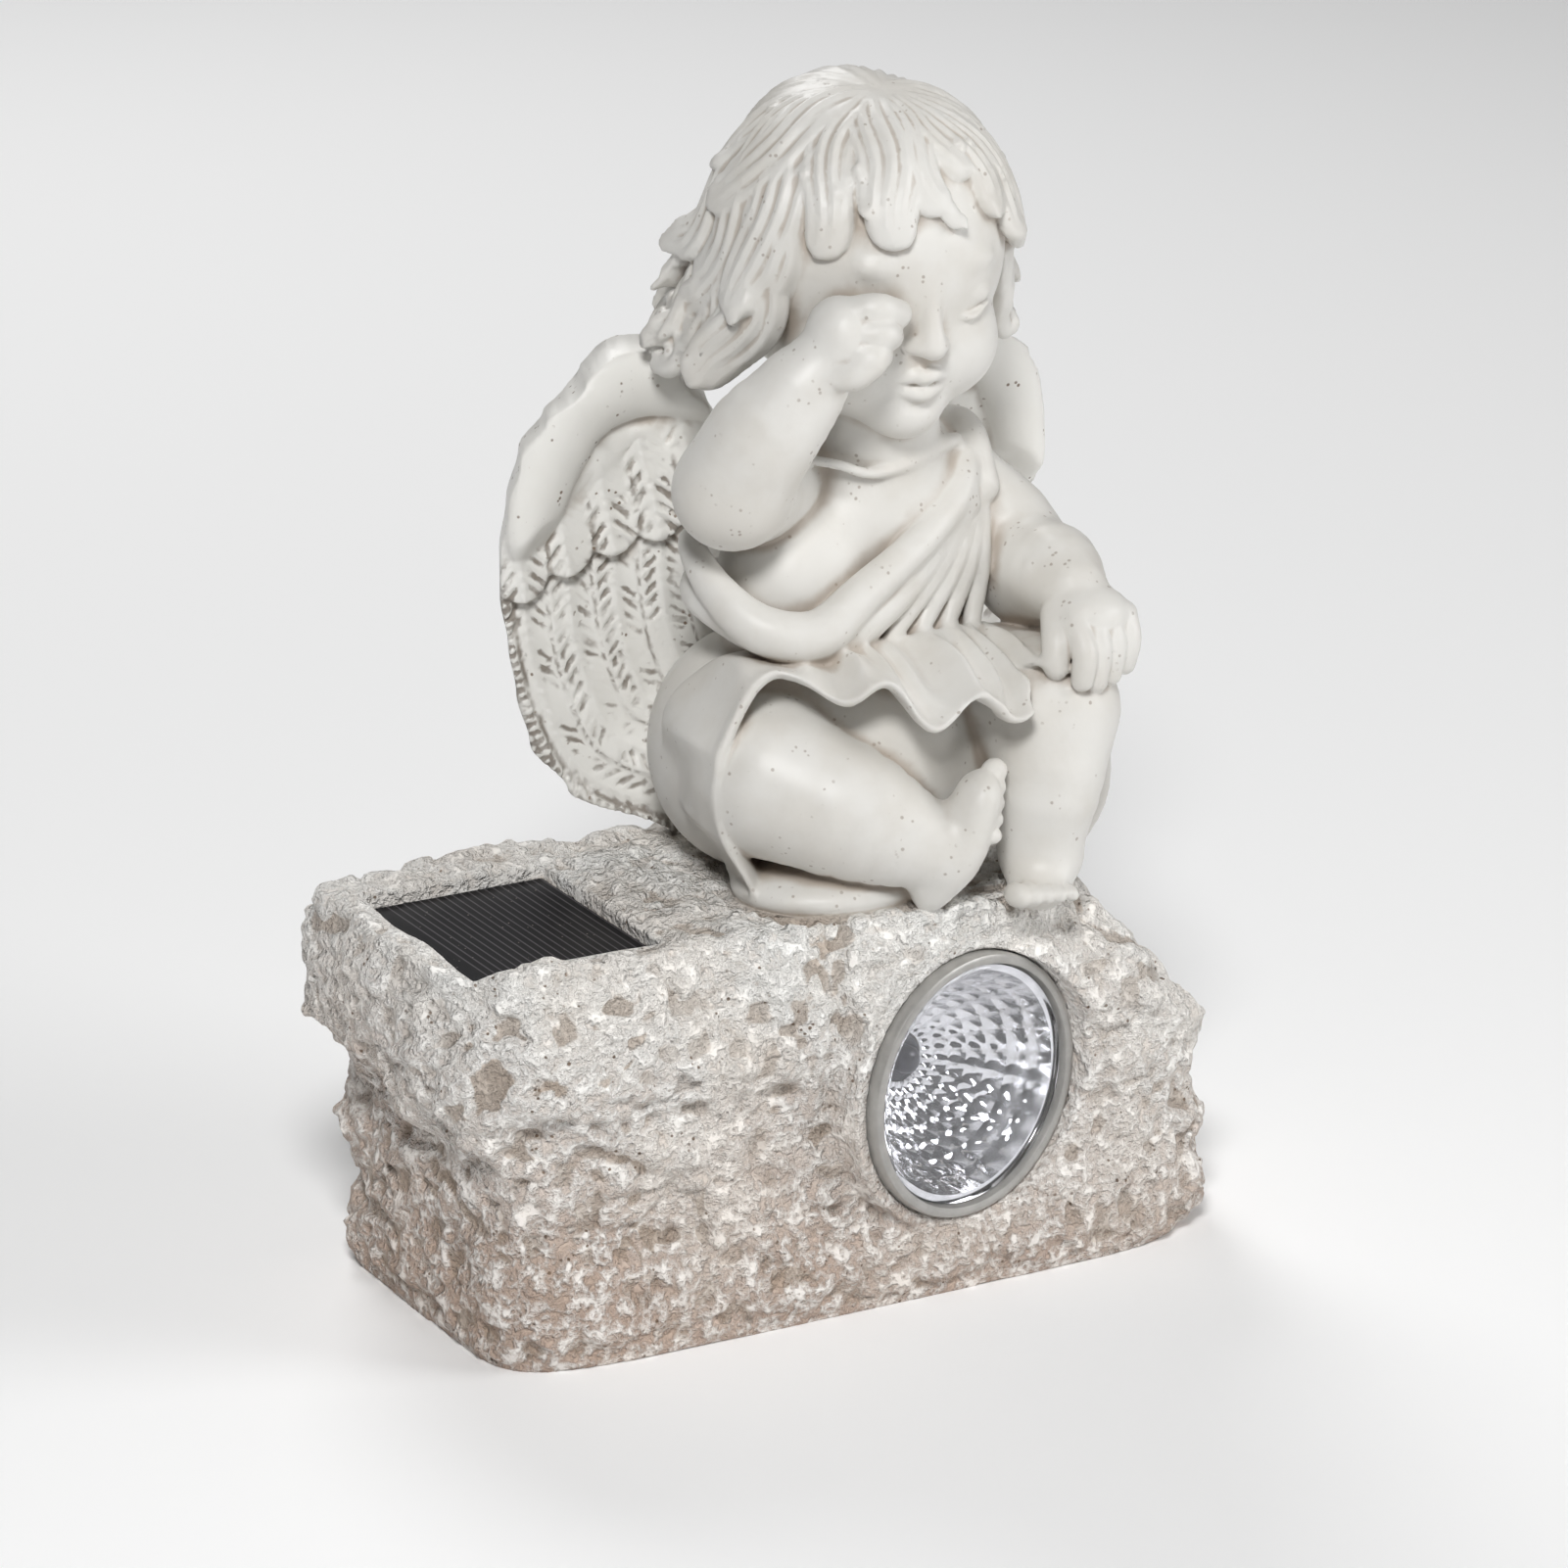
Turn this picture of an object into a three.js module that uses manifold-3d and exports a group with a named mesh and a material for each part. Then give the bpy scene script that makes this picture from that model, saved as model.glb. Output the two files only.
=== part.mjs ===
// A solar garden ornament: a seated cherub rubbing one eye, cast in one piece with the rock it sits on.
// A dark solar cell lies in a recess in the rock's top, and a round lamp faces forward out of its front.
// Lengths are millimetres, +Z is up, the figure faces -Y, and the origin is the middle of the underside.

import * as THREE from "three";
import { mergeVertices } from "three/addons/utils/BufferGeometryUtils.js";
import Module from "manifold-3d";

const wasm = await Module();
wasm.setup();

// Driving sizes of the rock.
const rockWidth = 164;
const rockDepth = 86;
const rockHeight = 80;
const rockMiddle = [-2, -5];
const rockCornerPower = 7;
const rockCrag = 3.4;

// Driving size of the figure, from the rock's top to the crown of its hair.
const figureHeight = 158;

// The solar cell and the recess that it lies in.
const cellWidth = 40;
const cellLength = 50;
const cellThickness = 3;
const cellSunk = 2.5;
const cellFromLeft = 0.8;
const cellFromFront = 15;

// The lamp: a cup with a rim, a faceted bowl, a light-emitting diode and a clear front.
const rimRadius = 27.2;
const cupRadius = 26;
const cupDepth = 24;
const cupWall = 1.2;
const rimStandsOut = 2.2;
const rimThickness = 3.4;
const lensThickness = 2;
const bowlDepth = 17;
const bowlWall = 1.2;
const diodeRadius = 4.6;
const diodeHeight = 3;
const lampHeight = 43;
const lampAcross = 19;
const lampTurn = THREE.MathUtils.degToRad(13.8);

// Room left between pieces that are put together.
const clearance = 0.3;

const stoneWhite = new THREE.MeshStandardMaterial({ color: 0xe9e6df, roughness: 0.8, metalness: 0 });
const cellBlack = new THREE.MeshStandardMaterial({ color: 0x14131a, roughness: 0.25, metalness: 0 });
const rimGrey = new THREE.MeshStandardMaterial({ color: 0xb9b6ae, roughness: 0.4, metalness: 0.3 });
const bowlChrome = new THREE.MeshStandardMaterial({ color: 0xd8d8da, roughness: 0.15, metalness: 0.9 });
const diodeDark = new THREE.MeshStandardMaterial({ color: 0x55535c, roughness: 0.4, metalness: 0 });
const clearPlastic = new THREE.MeshStandardMaterial({
  color: 0xf2f5fa,
  roughness: 0.05,
  metalness: 0,
  transparent: true,
  opacity: 0.3,
});

// Solids

function reshape(geometry, move) {
  const position = geometry.getAttribute("position");
  const point = new THREE.Vector3();
  for (let i = 0; i < position.count; i++) {
    point.fromBufferAttribute(position, i);
    const moved = move(point.clone());
    position.setXYZ(i, moved.x, moved.y, moved.z);
  }
  return geometry;
}

function solid(geometry) {
  const bare = geometry.clone();
  for (const name of Object.keys(bare.attributes)) if (name !== "position") bare.deleteAttribute(name);
  const merged = mergeVertices(bare, 1e-4);
  const made = new wasm.Manifold(
    new wasm.Mesh({
      numProp: 3,
      vertProperties: merged.getAttribute("position").array,
      triVerts: new Uint32Array(merged.index.array),
    }),
  );
  if (made.volume() > 0) return made;
  // A mirrored or inward-facing skin is turned round by swapping two corners of every triangle.
  const corners = Uint32Array.from(merged.index.array);
  for (let i = 0; i < corners.length; i += 3) {
    [corners[i + 1], corners[i + 2]] = [corners[i + 2], corners[i + 1]];
  }
  return new wasm.Manifold(
    new wasm.Mesh({ numProp: 3, vertProperties: merged.getAttribute("position").array, triVerts: corners }),
  );
}

function join(solids) {
  return solids.reduce((whole, piece) => whole.add(piece));
}

// Overlapping shapes can close off a small pocket between them. The casting is solid there, so each body
// is kept by its outer skin alone.
function withoutPockets(manifold) {
  return join(manifold.decompose().filter((body) => body.volume() > 0));
}

function meshOf(name, manifold, material) {
  const { vertProperties, triVerts } = manifold.getMesh();
  const geometry = new THREE.BufferGeometry();
  geometry.setAttribute("position", new THREE.BufferAttribute(vertProperties, 3));
  geometry.setIndex(new THREE.BufferAttribute(triVerts, 1));
  geometry.computeVertexNormals();
  const mesh = new THREE.Mesh(geometry, material);
  mesh.name = name;
  return mesh;
}

// Repeatable roughness: smooth noise from -1 to 1 on a lattice one unit wide.
function lattice(x, y, z) {
  const wave = Math.sin(x * 127.1 + y * 311.7 + z * 74.7) * 43758.5453;
  return (wave - Math.floor(wave)) * 2 - 1;
}

function noise(x, y, z) {
  const [ix, iy, iz] = [x, y, z].map(Math.floor);
  const ease = (t) => t * t * (3 - 2 * t);
  const [fx, fy, fz] = [ease(x - ix), ease(y - iy), ease(z - iz)];
  let sum = 0;
  for (const dx of [0, 1])
    for (const dy of [0, 1])
      for (const dz of [0, 1])
        sum +=
          (dx ? fx : 1 - fx) * (dy ? fy : 1 - fy) * (dz ? fz : 1 - fz) * lattice(ix + dx, iy + dy, iz + dz);
  return sum;
}

const clamp = THREE.MathUtils.clamp;
const mix = THREE.MathUtils.lerp;
const step = THREE.MathUtils.smoothstep;
const bump = (x, centre, width) => Math.exp(-(((x - centre) / width) ** 2));

// The rock

// A value that runs smoothly through evenly spaced stops as its share goes from 0 to 1.
function through(stops, share) {
  const place = clamp(share, 0, 1) * (stops.length - 1);
  const i = Math.min(Math.floor(place), stops.length - 2);
  return mix(stops[i], stops[i + 1], step(place - i, 0, 1));
}

// How far each side stands out from the plain block, from the foot to the top.
const rockSides = {
  left: [-1, 0, -1, -1, -2, -3, 2, 7, 9, 8, 5],
  right: [-5, -1, 0, 1, 0, -1, -2, -4, -11, -23, -34],
  front: [-1, 0, -2, -4, -4, -4, -4, -2, -2, -5, -8],
  back: [0, 0, 1, 1, 0, 0, -1, -2, -4, -6, -9],
};

function crag(x, y, z) {
  const ridge = 1 - 2 * Math.abs(noise(x / 26, y / 26, z / 17));
  return rockCrag * (0.6 * ridge + 0.8 * noise(x / 12, y / 12, z / 8));
}

function rockTop(x, y) {
  const rim = 2 * step(-y, 33, 40) * step(-x, 20, 50);
  return rockHeight + rim - 26 * step(x, 44, 92) ** 1.2 + 0.8 * noise(x / 14, y / 14, 3);
}

function rockBody() {
  const block = new THREE.BoxGeometry(2, 2, 1, 13, 6, 8);
  return reshape(block, (p) => {
    const share = p.z + 0.5;
    const outward = Math.max(Math.abs(p.x), Math.abs(p.y));
    const round =
      (Math.abs(p.x) ** rockCornerPower + Math.abs(p.y) ** rockCornerPower) ** (-1 / rockCornerPower);
    const pull = outward > 0 ? mix(1, round * outward, outward ** 3) : 1;
    const across = {
      left: step(-p.x, 0.3, 1),
      right: step(p.x, 0.3, 1),
      front: step(-p.y, 0.3, 1),
      back: step(p.y, 0.3, 1),
    };
    const out = (side) => across[side] * through(rockSides[side], share);
    const x = rockMiddle[0] + pull * p.x * (rockWidth / 2) + out("right") - out("left");
    const y = rockMiddle[1] + pull * p.y * (rockDepth / 2) + out("back") - out("front");
    const z = share * rockTop(x, y);
    const rough = outward > 0.99 ? crag(x, y, z) * Math.min(1, share * 4) : 0;
    const away = new THREE.Vector2(x - rockMiddle[0], (y - rockMiddle[1]) * 1.6).normalize();
    return new THREE.Vector3(x + rough * away.x, y + rough * away.y, z);
  });
}

// The figure is drawn at a height of 158 mm above the rock's top and scaled to its own height.
const drawnHeight = 158;
const figureScale = figureHeight / drawnHeight;
const vector = (at) => new THREE.Vector3(at[0], at[1], at[2]);

function blob(centre, radii, { turn = 0, columns = 10, rows = 7 } = {}) {
  const skin = new THREE.SphereGeometry(1, columns, rows);
  skin.rotateX(Math.PI / 2);
  skin.scale(...radii);
  skin.rotateZ(turn);
  skin.translate(...centre);
  return solid(skin);
}

// A round or flattened rod with soft ends, drawn through stations of [x, y, z, radius].
// flat is its thickness as a share of its width. Its flat side looks along facing, or with outward set,
// away from the point that facing gives.
function limb(stations, { sides = 7, steps = 3, caps = 1, flat = 1, facing = null, outward = false } = {}) {
  const path = new THREE.CatmullRomCurve3(stations.map(vector));
  const ends = vector(stations.at(-1)).sub(vector(stations[0]));
  const plain = Math.abs(ends.y) > 0.8 * ends.length() ? [0, 0, 1] : [0, -1, 0];
  const skin = new THREE.CapsuleGeometry(1, steps, caps, sides, steps);
  const radiusAt = (t) => {
    const place = t * (stations.length - 1);
    const i = Math.min(Math.floor(place), stations.length - 2);
    return mix(stations[i][3], stations[i + 1][3], place - i);
  };
  return solid(
    reshape(skin, (p) => {
      const t = clamp(p.y / steps + 0.5, 0, 1);
      const beyond = p.y - (t - 0.5) * steps;
      const centre = path.getPoint(t);
      const along = path.getTangent(t);
      const look = outward ? centre.clone().sub(vector(facing)) : vector(facing ?? plain);
      const face = look.projectOnPlane(along).normalize();
      const side = new THREE.Vector3().crossVectors(along, face);
      const r = radiusAt(t);
      return centre
        .addScaledVector(along, beyond * r * (flat < 1 ? 0.7 : 1))
        .addScaledVector(side, p.x * r)
        .addScaledVector(face, p.z * r * flat);
    }),
  );
}

const small = { sides: 5, steps: 2, caps: 1 };

// Body and limbs

function torso() {
  return [
    blob([17, 4, 14], [31, 25, 21], { columns: 9, rows: 6 }),
    blob([18, -3, 38], [22, 18, 22], { columns: 8, rows: 6 }),
    blob([21, -1, 62], [21, 16.5, 21], { columns: 9, rows: 6 }),
    blob([2, -6, 58], [17, 14.5, 18], { columns: 8, rows: 6 }),
    blob([20, -2, 71], [20, 15.5, 13], { columns: 8, rows: 5 }),
    limb([[5, 3, 79, 11], [21, 0, 80, 13], [42, 2, 69, 11]]),
    limb([[20, -3, 76, 14], [19, -7, 92, 12.5]], { steps: 1 }),
  ];
}

function rightArm() {
  const elbow = [-18.5, -17, 83];
  const wrist = [-5.5, -27.5, 108];
  const fingers = [
    [[-1.7, -29.9, 118.9, 3.2], [3.3, -34.4, 120.4, 3.1], [8.8, -32.9, 118.4, 2.9]],
    [[-1.7, -31.9, 115.4, 3.2], [3.3, -36.4, 115.9, 3], [6.8, -33.4, 114.4, 2.8]],
    [[-2.7, -32.9, 111.9, 3.1], [1.3, -36.9, 111.9, 2.9], [4.3, -33.9, 110.9, 2.7]],
    [[-5.7, -29.9, 108.9, 3.4], [-2.7, -35.4, 108.4, 3.2], [0.8, -37.4, 110.9, 2.9]],
  ];
  return [
    limb([[5, 3, 79, 11], [-8, -7, 80, 11.2], [...elbow, 11]]),
    limb([[...elbow, 11], [-15, -22, 94, 10.8], [...wrist, 7.4]], { steps: 4 }),
    blob([-1.7, -29.4, 114.4], [6.5, 7.5, 8], { columns: 8, rows: 5 }),
    ...fingers.map((stations) => limb(stations, small)),
  ];
}

function leftArm() {
  const elbow = [51, -13, 55];
  const made = [
    limb([[42, 2, 69, 11], [49, -5, 62, 11], [...elbow, 10]]),
    limb([[...elbow, 10.4], [50, -23, 58, 9.6], [48.5, -33, 57, 7.4]], { steps: 4 }),
    blob([49, -39.5, 54], [8.2, 7, 5.5], { columns: 8, rows: 5 }),
    limb([[43, -37, 54, 3.4], [40, -42, 50, 3.1], [39, -43.5, 46, 2.7]], small),
  ];
  for (let i = 0; i < 4; i++) {
    const x = 43.4 + 4 * i;
    const drop = 1.2 * Math.abs(i - 1.3);
    const curl = [
      [x, -43 + 0.5 * i, 53.5, 2.8],
      [x - 0.3, -47.3 + 1.1 * i, 49, 2.6],
      [x - 0.8, -47.3 + 1.3 * i, 42 + drop, 2.3],
    ];
    made.push(limb(curl, small));
  }
  return made;
}

function leftLeg() {
  const toes = [];
  for (let i = 0; i < 5; i++) {
    const size = [2.6 - 0.2 * i, 3.2, 2.7 - 0.2 * i];
    toes.push(blob([26 + 3.6 * i, -52 + 1.1 * i, 3.4], size, { columns: 5, rows: 4 }));
  }
  return [
    limb([[34, 2, 18, 17], [40, -18, 30, 16], [43.5, -34, 34, 13]], { steps: 4 }),
    limb([[43.5, -35, 34, 12.8], [39.5, -40, 22, 10.5], [38, -40, 8, 8.2]], { steps: 4 }),
    limb(
      [[41, -36, 5, 7.5], [36, -44, 5, 7], [32.5, -49, 3, 6.5]],
      { steps: 2, flat: 0.75, facing: [0, 0, 1] }
    ),
    ...toes,
  ];
}

function rightLeg() {
  const toes = [];
  for (let i = 0; i < 5; i++) {
    const size = [2.2, 2.3, 2.8 - 0.25 * i];
    toes.push(blob([22.6 - 0.5 * i, -43.5 - 1.9 * i, 27 - 3.1 * i], size, { columns: 5, rows: 4 }));
  }
  return [
    limb([[2, 2, 19, 18], [-7, -10, 24, 17.5], [-11, -18, 24, 15.5]], { steps: 2 }),
    limb([[-12, -21, 24.5, 15.5], [-1, -32, 19, 13.2], [11, -41, 13, 8.4]], { steps: 4 }),
    limb(
      [[13.5, -41, 5.5, 6.5], [17, -43, 12, 8], [20.5, -45, 22, 6.5]],
      { steps: 2, flat: 0.7, facing: [1, -0.35, 0] }
    ),
    ...toes,
  ];
}

// Head and hair: drawn about the middle of the head, facing -Y, then turned and set on the neck.
const headAt = [18.5, -3.5, 121.5];
const headTurn = new THREE.Matrix4().makeRotationFromEuler(new THREE.Euler(0.14, 0.03, -0.02, "ZYX"));

function setHead(manifold) {
  return manifold.transform(new THREE.Matrix4().makeTranslation(...headAt).multiply(headTurn).elements);
}

function face() {
  return [
    blob([0, 0, 3], [24.5, 27.5, 25], { columns: 10, rows: 6 }),
    blob([0, -9, -12], [20, 18, 17.5], { columns: 9, rows: 6 }),
    blob([-10.8, -16, -12], [9.8, 9.6, 9.8], { columns: 7, rows: 5 }),
    blob([10.8, -16, -12], [9.8, 9.6, 9.8], { columns: 7, rows: 5 }),
    blob([0, -20.5, -23], [7.6, 6.4, 6.4], { columns: 6, rows: 5 }),
    limb([[0, -26, 2, 1.8], [0, -28, -3, 2.1], [0, -29.4, -7, 3]], small),
    limb([[-2.8, -27, -7.6, 1.9], [2.8, -27, -7.6, 1.9]], { ...small, steps: 1 }),
    limb([[-5.6, -25.2, -15, 1.1], [0, -27.6, -14.2, 1.8], [5.6, -25.2, -15, 1.1]], small),
    limb([[-3.8, -25.4, -16.8, 1.2], [0, -27.2, -17, 1.9], [3.8, -25.4, -16.8, 1.2]], small),
    blob([-9.8, -22.2, 0.5], [5.3, 3.5, 3.4], { columns: 7, rows: 4 }),
    blob([9.8, -22.2, 0.5], [5.3, 3.5, 3.4], { columns: 7, rows: 4 }),
  ];
}

// One lock runs from the crown down the head. heading is its way round the head in degrees, 0 at the face
// and 90 at the figure's left; reach is how far down its tip is, in degrees from the crown; flip lifts
// the tip off the head, and sweep carries it round.
const scalp = { middle: [0, 2.5, 4], radii: [26.5, 29.5, 28.5] };

// A place on the hair. Past the widest part of the head the hair hangs down and spreads a little.
function onScalp(heading, reach, lift) {
  const round = THREE.MathUtils.degToRad(heading);
  const down = THREE.MathUtils.degToRad(Math.min(reach, 90));
  const past = Math.max(0, reach - 90);
  const spread = 0.32 * (0.5 - 0.5 * Math.cos(round)) * (past / 45) ** 1.5;
  const level = Math.sin(down) + spread;
  const rise = Math.cos(down) - 0.95 * THREE.MathUtils.degToRad(past);
  const way = [level * Math.sin(round), -level * Math.cos(round), rise];
  return way.map((share, i) => scalp.middle[i] + (scalp.radii[i] + lift) * share);
}

function lock([heading, reach, width, flip, sweep, start = 6]) {
  const stations = [];
  const steps = 4;
  for (let i = 0; i <= steps; i++) {
    const t = i / steps;
    const belly = 0.5 + 0.55 * Math.sin(Math.PI * (0.15 + 0.75 * t));
    const place = onScalp(heading + sweep * t * t, mix(start, reach, t), flip * t ** 4);
    stations.push([...place, width * belly * (i === steps ? 0.7 : 1)]);
  }
  return limb(stations, { sides: 4, steps: 4, flat: 0.6, facing: scalp.middle, outward: true });
}

const fringe = [
  [-72, 102, 6.8, 2, 4],
  [-48, 82, 6.8, 2, 6],
  [-24, 74, 7.4, 2.5, 8],
  [0, 63, 6.4, 2, 2],
  [18, 52, 6, 1.5, 8],
  [38, 76, 6.4, 3, 5],
  [56, 90, 7, 5, 6],
  [78, 104, 6.8, 5, 0],
];

// Rows of locks go round the sides and back, each one showing under the row above it.
const tiers = [
  { locks: 5, from: 98, to: 274, start: 6, reach: 80, width: 11, flip: 2.5 },
  { locks: 5, from: 108, to: 264, start: 50, reach: 110, width: 10, flip: 4 },
  { locks: 4, from: 124, to: 246, start: 88, reach: 138, width: 10, flip: 1 },
];

function hair() {
  const cap = scalp.radii.map((r) => r + 0.8);
  const made = [blob(scalp.middle, cap, { columns: 10, rows: 7 }), ...fringe.map(lock)];
  // The mass under the lower locks at the back.
  made.push(blob([0, 9, -10], [25, 21, 19], { columns: 9, rows: 6 }));
  for (const { locks, from, to, start, reach, width, flip } of tiers)
    for (let i = 0; i < locks; i++) {
      const heading = mix(from, to, i / (locks - 1));
      const tip = reach + 5 * Math.sin(2.3 * i);
      const out = flip + 1.5 * Math.cos(3.1 * i) + (start > 30 ? 3 * bump(heading, 238, 26) : 0);
      made.push(lock([heading, tip, width, out, -6 + 8 * Math.sin(1.7 * i), start]));
    }
  return made;
}

// Clothing: a tunic knotted on the left shoulder, with a skirt over the thighs.
function tunic() {
  return [
    blob([18, -2, 44], [24, 19.5, 23], { columns: 9, rows: 6 }),
    // The thick roll from under the right arm, across the belly and up to the shoulder.
    limb(
      [
        [-25, 2, 73, 3], [-21, -13, 62, 4], [-14.5, -21.5, 55.5, 4.8], [-4, -25, 54, 4.8],
        [7, -24, 60.5, 4], [23, -20, 68.5, 3.6], [35, -13, 75.5, 3.6], [40, -3, 82, 4],
      ],
      { sides: 6, steps: 8 },
    ),
    limb([[-20, -8, 58, 3], [-6, -22, 50, 3.6], [12, -22, 56, 3.6], [36, -14, 72, 3]], { ...small, steps: 4 }),
    limb([[6, -23, 50, 2.8], [25, -19.5, 63, 3], [38, -12.5, 75, 2.8]], small),
    limb([[18, -21.5, 49, 2.8], [31, -18, 62, 3], [39.5, -11, 75, 2.8]], small),
    limb([[32, -18.5, 48, 2.8], [37.5, -15.5, 60, 3], [40.5, -10, 74, 3]], small),
    limb([[41, -10, 74, 4], [41, -2, 83, 4.5], [37, 8, 80, 5]], { ...small, steps: 3 }),
  ];
}

// The skirt is a thick sheet from the waist to a wavy hem, both given by stations from right to left of
// the figure: up the outside of the right knee, over both thighs and round the left hip.
const skirtInside = new THREE.Vector3(12, -10, 14);
const skirtThickness = 3.4;

function skirt() {
  const waist = new THREE.CatmullRomCurve3(
    [[-13, -6, 2], [-23, -3, 18], [-26, -2, 36], [-17, -9, 47], [-4, -17, 50], [5, -20, 50.5]]
      .concat([[13, -22, 50], [21, -22, 50], [28, -21, 50], [34, -19, 49], [42, -12, 46], [47, -2, 40]])
      .map(vector),
  );
  const hem = new THREE.CatmullRomCurve3(
    [[-18, -27, 1], [-26.5, -26, 20], [-25, -27, 36], [-16, -30, 49.5], [-5, -38, 43.5], [3, -42, 47.5]]
      .concat([[10, -47, 38], [21, -48, 43.5], [28, -51, 37.5], [35, -48, 46.5], [50, -40, 48], [56, -24, 42]])
      .map(vector),
  );
  const sheet = new THREE.BoxGeometry(1, 1, 1, 20, 1, 2);
  return solid(
    reshape(sheet, (p) => {
      const along = p.x + 0.5;
      const down = p.z + 0.5;
      const point = waist.getPoint(along).lerp(hem.getPoint(along), down);
      const inward = skirtInside.clone().sub(point).normalize();
      const fold = Math.sin(Math.PI * down) * (2 + 1.2 * Math.cos(along * 40));
      const depth = (0.5 - p.y) * (skirtThickness + 4 * (1 - down));
      return point.addScaledVector(inward, depth - fold);
    }),
  );
}

function skirtFalls() {
  return [
    blob([-3, -1, 24], [23, 23, 25], { columns: 10, rows: 6 }),
    blob([14, -17, 24], [26, 17, 20], { columns: 9, rows: 6 }),
    // Behind the left shin.
    limb(
      [[52, -34, 42, 5], [55, -24, 28, 7], [54, -26, 13, 7], [44, -30, 3, 6]],
      { steps: 5, flat: 0.5, facing: [0.5, 0.8, 0] }
    ),
    // Cloth on the rock under the right calf.
    blob([2, -22, 2], [22, 17, 6], { turn: 0.5, columns: 9, rows: 4 }),
  ];
}

// Wings: a thin shell that hangs from the shoulder blades and curls forward at its outer rim, with a smooth
// roll along its shoulder, a layer of covering feathers and long feathers below.
// u runs outward from the spine and v runs up; the two edges are given from the foot to the crest.
const wing = {
  crest: 101,
  outer: [26, 47, 54.5, 57, 58.5, 60, 60, 58.5, 56, 51, 43],
  inner: [22, 14, 8, 4, 0, 0, 0, 12, 15, 18, 24],
  rim: [[50, 92], [58.5, 76], [60.3, 60], [59.5, 44], [56.5, 29], [50, 14], [41, 6], [26, 0.5], [10, -4]],
  roll: [[16, 90], [33, 94.5], [44, 91], [50.5, 80], [53.5, 68], [54, 58]],
  rollRadius: 8.5,
  sweep: THREE.MathUtils.degToRad(23),
  thickness: 4.5,
  featherWidth: 9.4,
};

// Distance from a line of [u, v] points.
function beside(u, v, line) {
  let best = Infinity;
  for (let i = 1; i < line.length; i++) {
    const [[u0, v0], [u1, v1]] = [line[i - 1], line[i]];
    const t = clamp(((u - u0) * (u1 - u0) + (v - v0) * (v1 - v0)) / ((u1 - u0) ** 2 + (v1 - v0) ** 2), 0, 1);
    best = Math.min(best, Math.hypot(u - mix(u0, u1, t), v - mix(v0, v1, t)));
  }
  return best;
}

// How far the front of the wing stands out from its back.
function wingRelief(u, v, rimAway) {
  const feather = rimAway / wing.featherWidth;
  const ridge = 1 - 4 * (feather - Math.floor(feather) - 0.5) ** 2;
  const covertEdge = 55 + 3 * Math.cos((u - 14) / 2.9) + 0.004 * (u - 34) ** 2;
  const covert = step(v, covertEdge - 1.5, covertEdge + 1.5);
  const shoulder = step(v - mix(92, 60, step(u, 14, 60)), -6, 6);
  const roll = Math.sqrt(Math.max(0, 1 - (beside(u, v, wing.roll) / wing.rollRadius) ** 2));
  return 1.1 * ridge * (1 - shoulder) + 2.8 * covert + 1.4 * shoulder + 4 * roll * shoulder;
}

function wingShell(side) {
  const sheet = new THREE.BoxGeometry(1, 1, 1, 9, 1, 13);
  const root = [18 + side * 4, 15];
  const [outX, outY] = [Math.cos(wing.sweep), Math.sin(wing.sweep)];
  return solid(
    reshape(sheet, (p) => {
      const share = p.z + 0.5;
      const s = p.x + 0.5;
      const u = mix(through(wing.inner, share), through(wing.outer, share), s);
      const v = wing.crest * share - 5 * step(share, 0.8, 1) * (2 * s - 1) ** 2;
      const rimAway = beside(u, v, wing.rim);
      const cup = 5.5 * (1 - step(rimAway, 0, 26)) - 2.5;
      const w = cup + (p.y > 0 ? wingRelief(u, v, rimAway) : -wing.thickness * mix(0.7, 1, share));
      return new THREE.Vector3(root[0] + side * (u * outX + w * outY), root[1] + u * outY - w * outX, v);
    }),
  );
}

function figure() {
  const head = setHead(join([...face(), ...hair()]));
  const body = join([
    ...torso(),
    ...rightArm(),
    ...leftArm(),
    ...leftLeg(),
    ...rightLeg(),
    ...tunic(),
    skirt(),
    ...skirtFalls(),
    wingShell(-1),
    wingShell(1),
  ]);
  return body.add(head).scale(figureScale).translate(0, 0, rockHeight);
}

// Recess and bore in the rock, and what fits in them.

const lampAxis = new THREE.Vector3(Math.sin(lampTurn), -Math.cos(lampTurn), 0);
const lampFace = new THREE.Vector3(lampAcross, rockMiddle[1] - rockDepth / 2 + 2.5, lampHeight);

// A profile of [radius, distance out from the rock's face] turned about the lamp's axis.
function turned(profile, columns = 20) {
  const skin = new THREE.LatheGeometry(
    profile.map(([r, out]) => new THREE.Vector2(r, out)),
    columns,
  );
  const turn = new THREE.Quaternion().setFromUnitVectors(new THREE.Vector3(0, 1, 0), lampAxis);
  skin.applyQuaternion(turn);
  skin.translate(...lampFace.toArray());
  return solid(skin);
}

const rimInner = cupRadius - cupWall;
const lensSeat = rimStandsOut - 1.2 - lensThickness;
const bowlTop = lensSeat - clearance;
const cupFloor = -cupDepth + cupWall;

function bore() {
  const r = cupRadius + clearance;
  return turned([[0, -cupDepth - clearance], [r, -cupDepth - clearance], [r, 60], [0, 60]]);
}

function rimSeat() {
  const r = rimRadius + clearance;
  const floor = rimStandsOut - rimThickness - clearance;
  return turned([[0, floor], [r, floor], [r + 1.5, 60], [0, 60]]);
}

// A low collar of stone round the lamp, so that its rim sits on solid rock.
function lampBoss() {
  return turned([[0, -34], [rimRadius + 3, -34], [rimRadius + 3, -3], [rimRadius + 1.2, 0], [0, 0]]);
}

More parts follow.
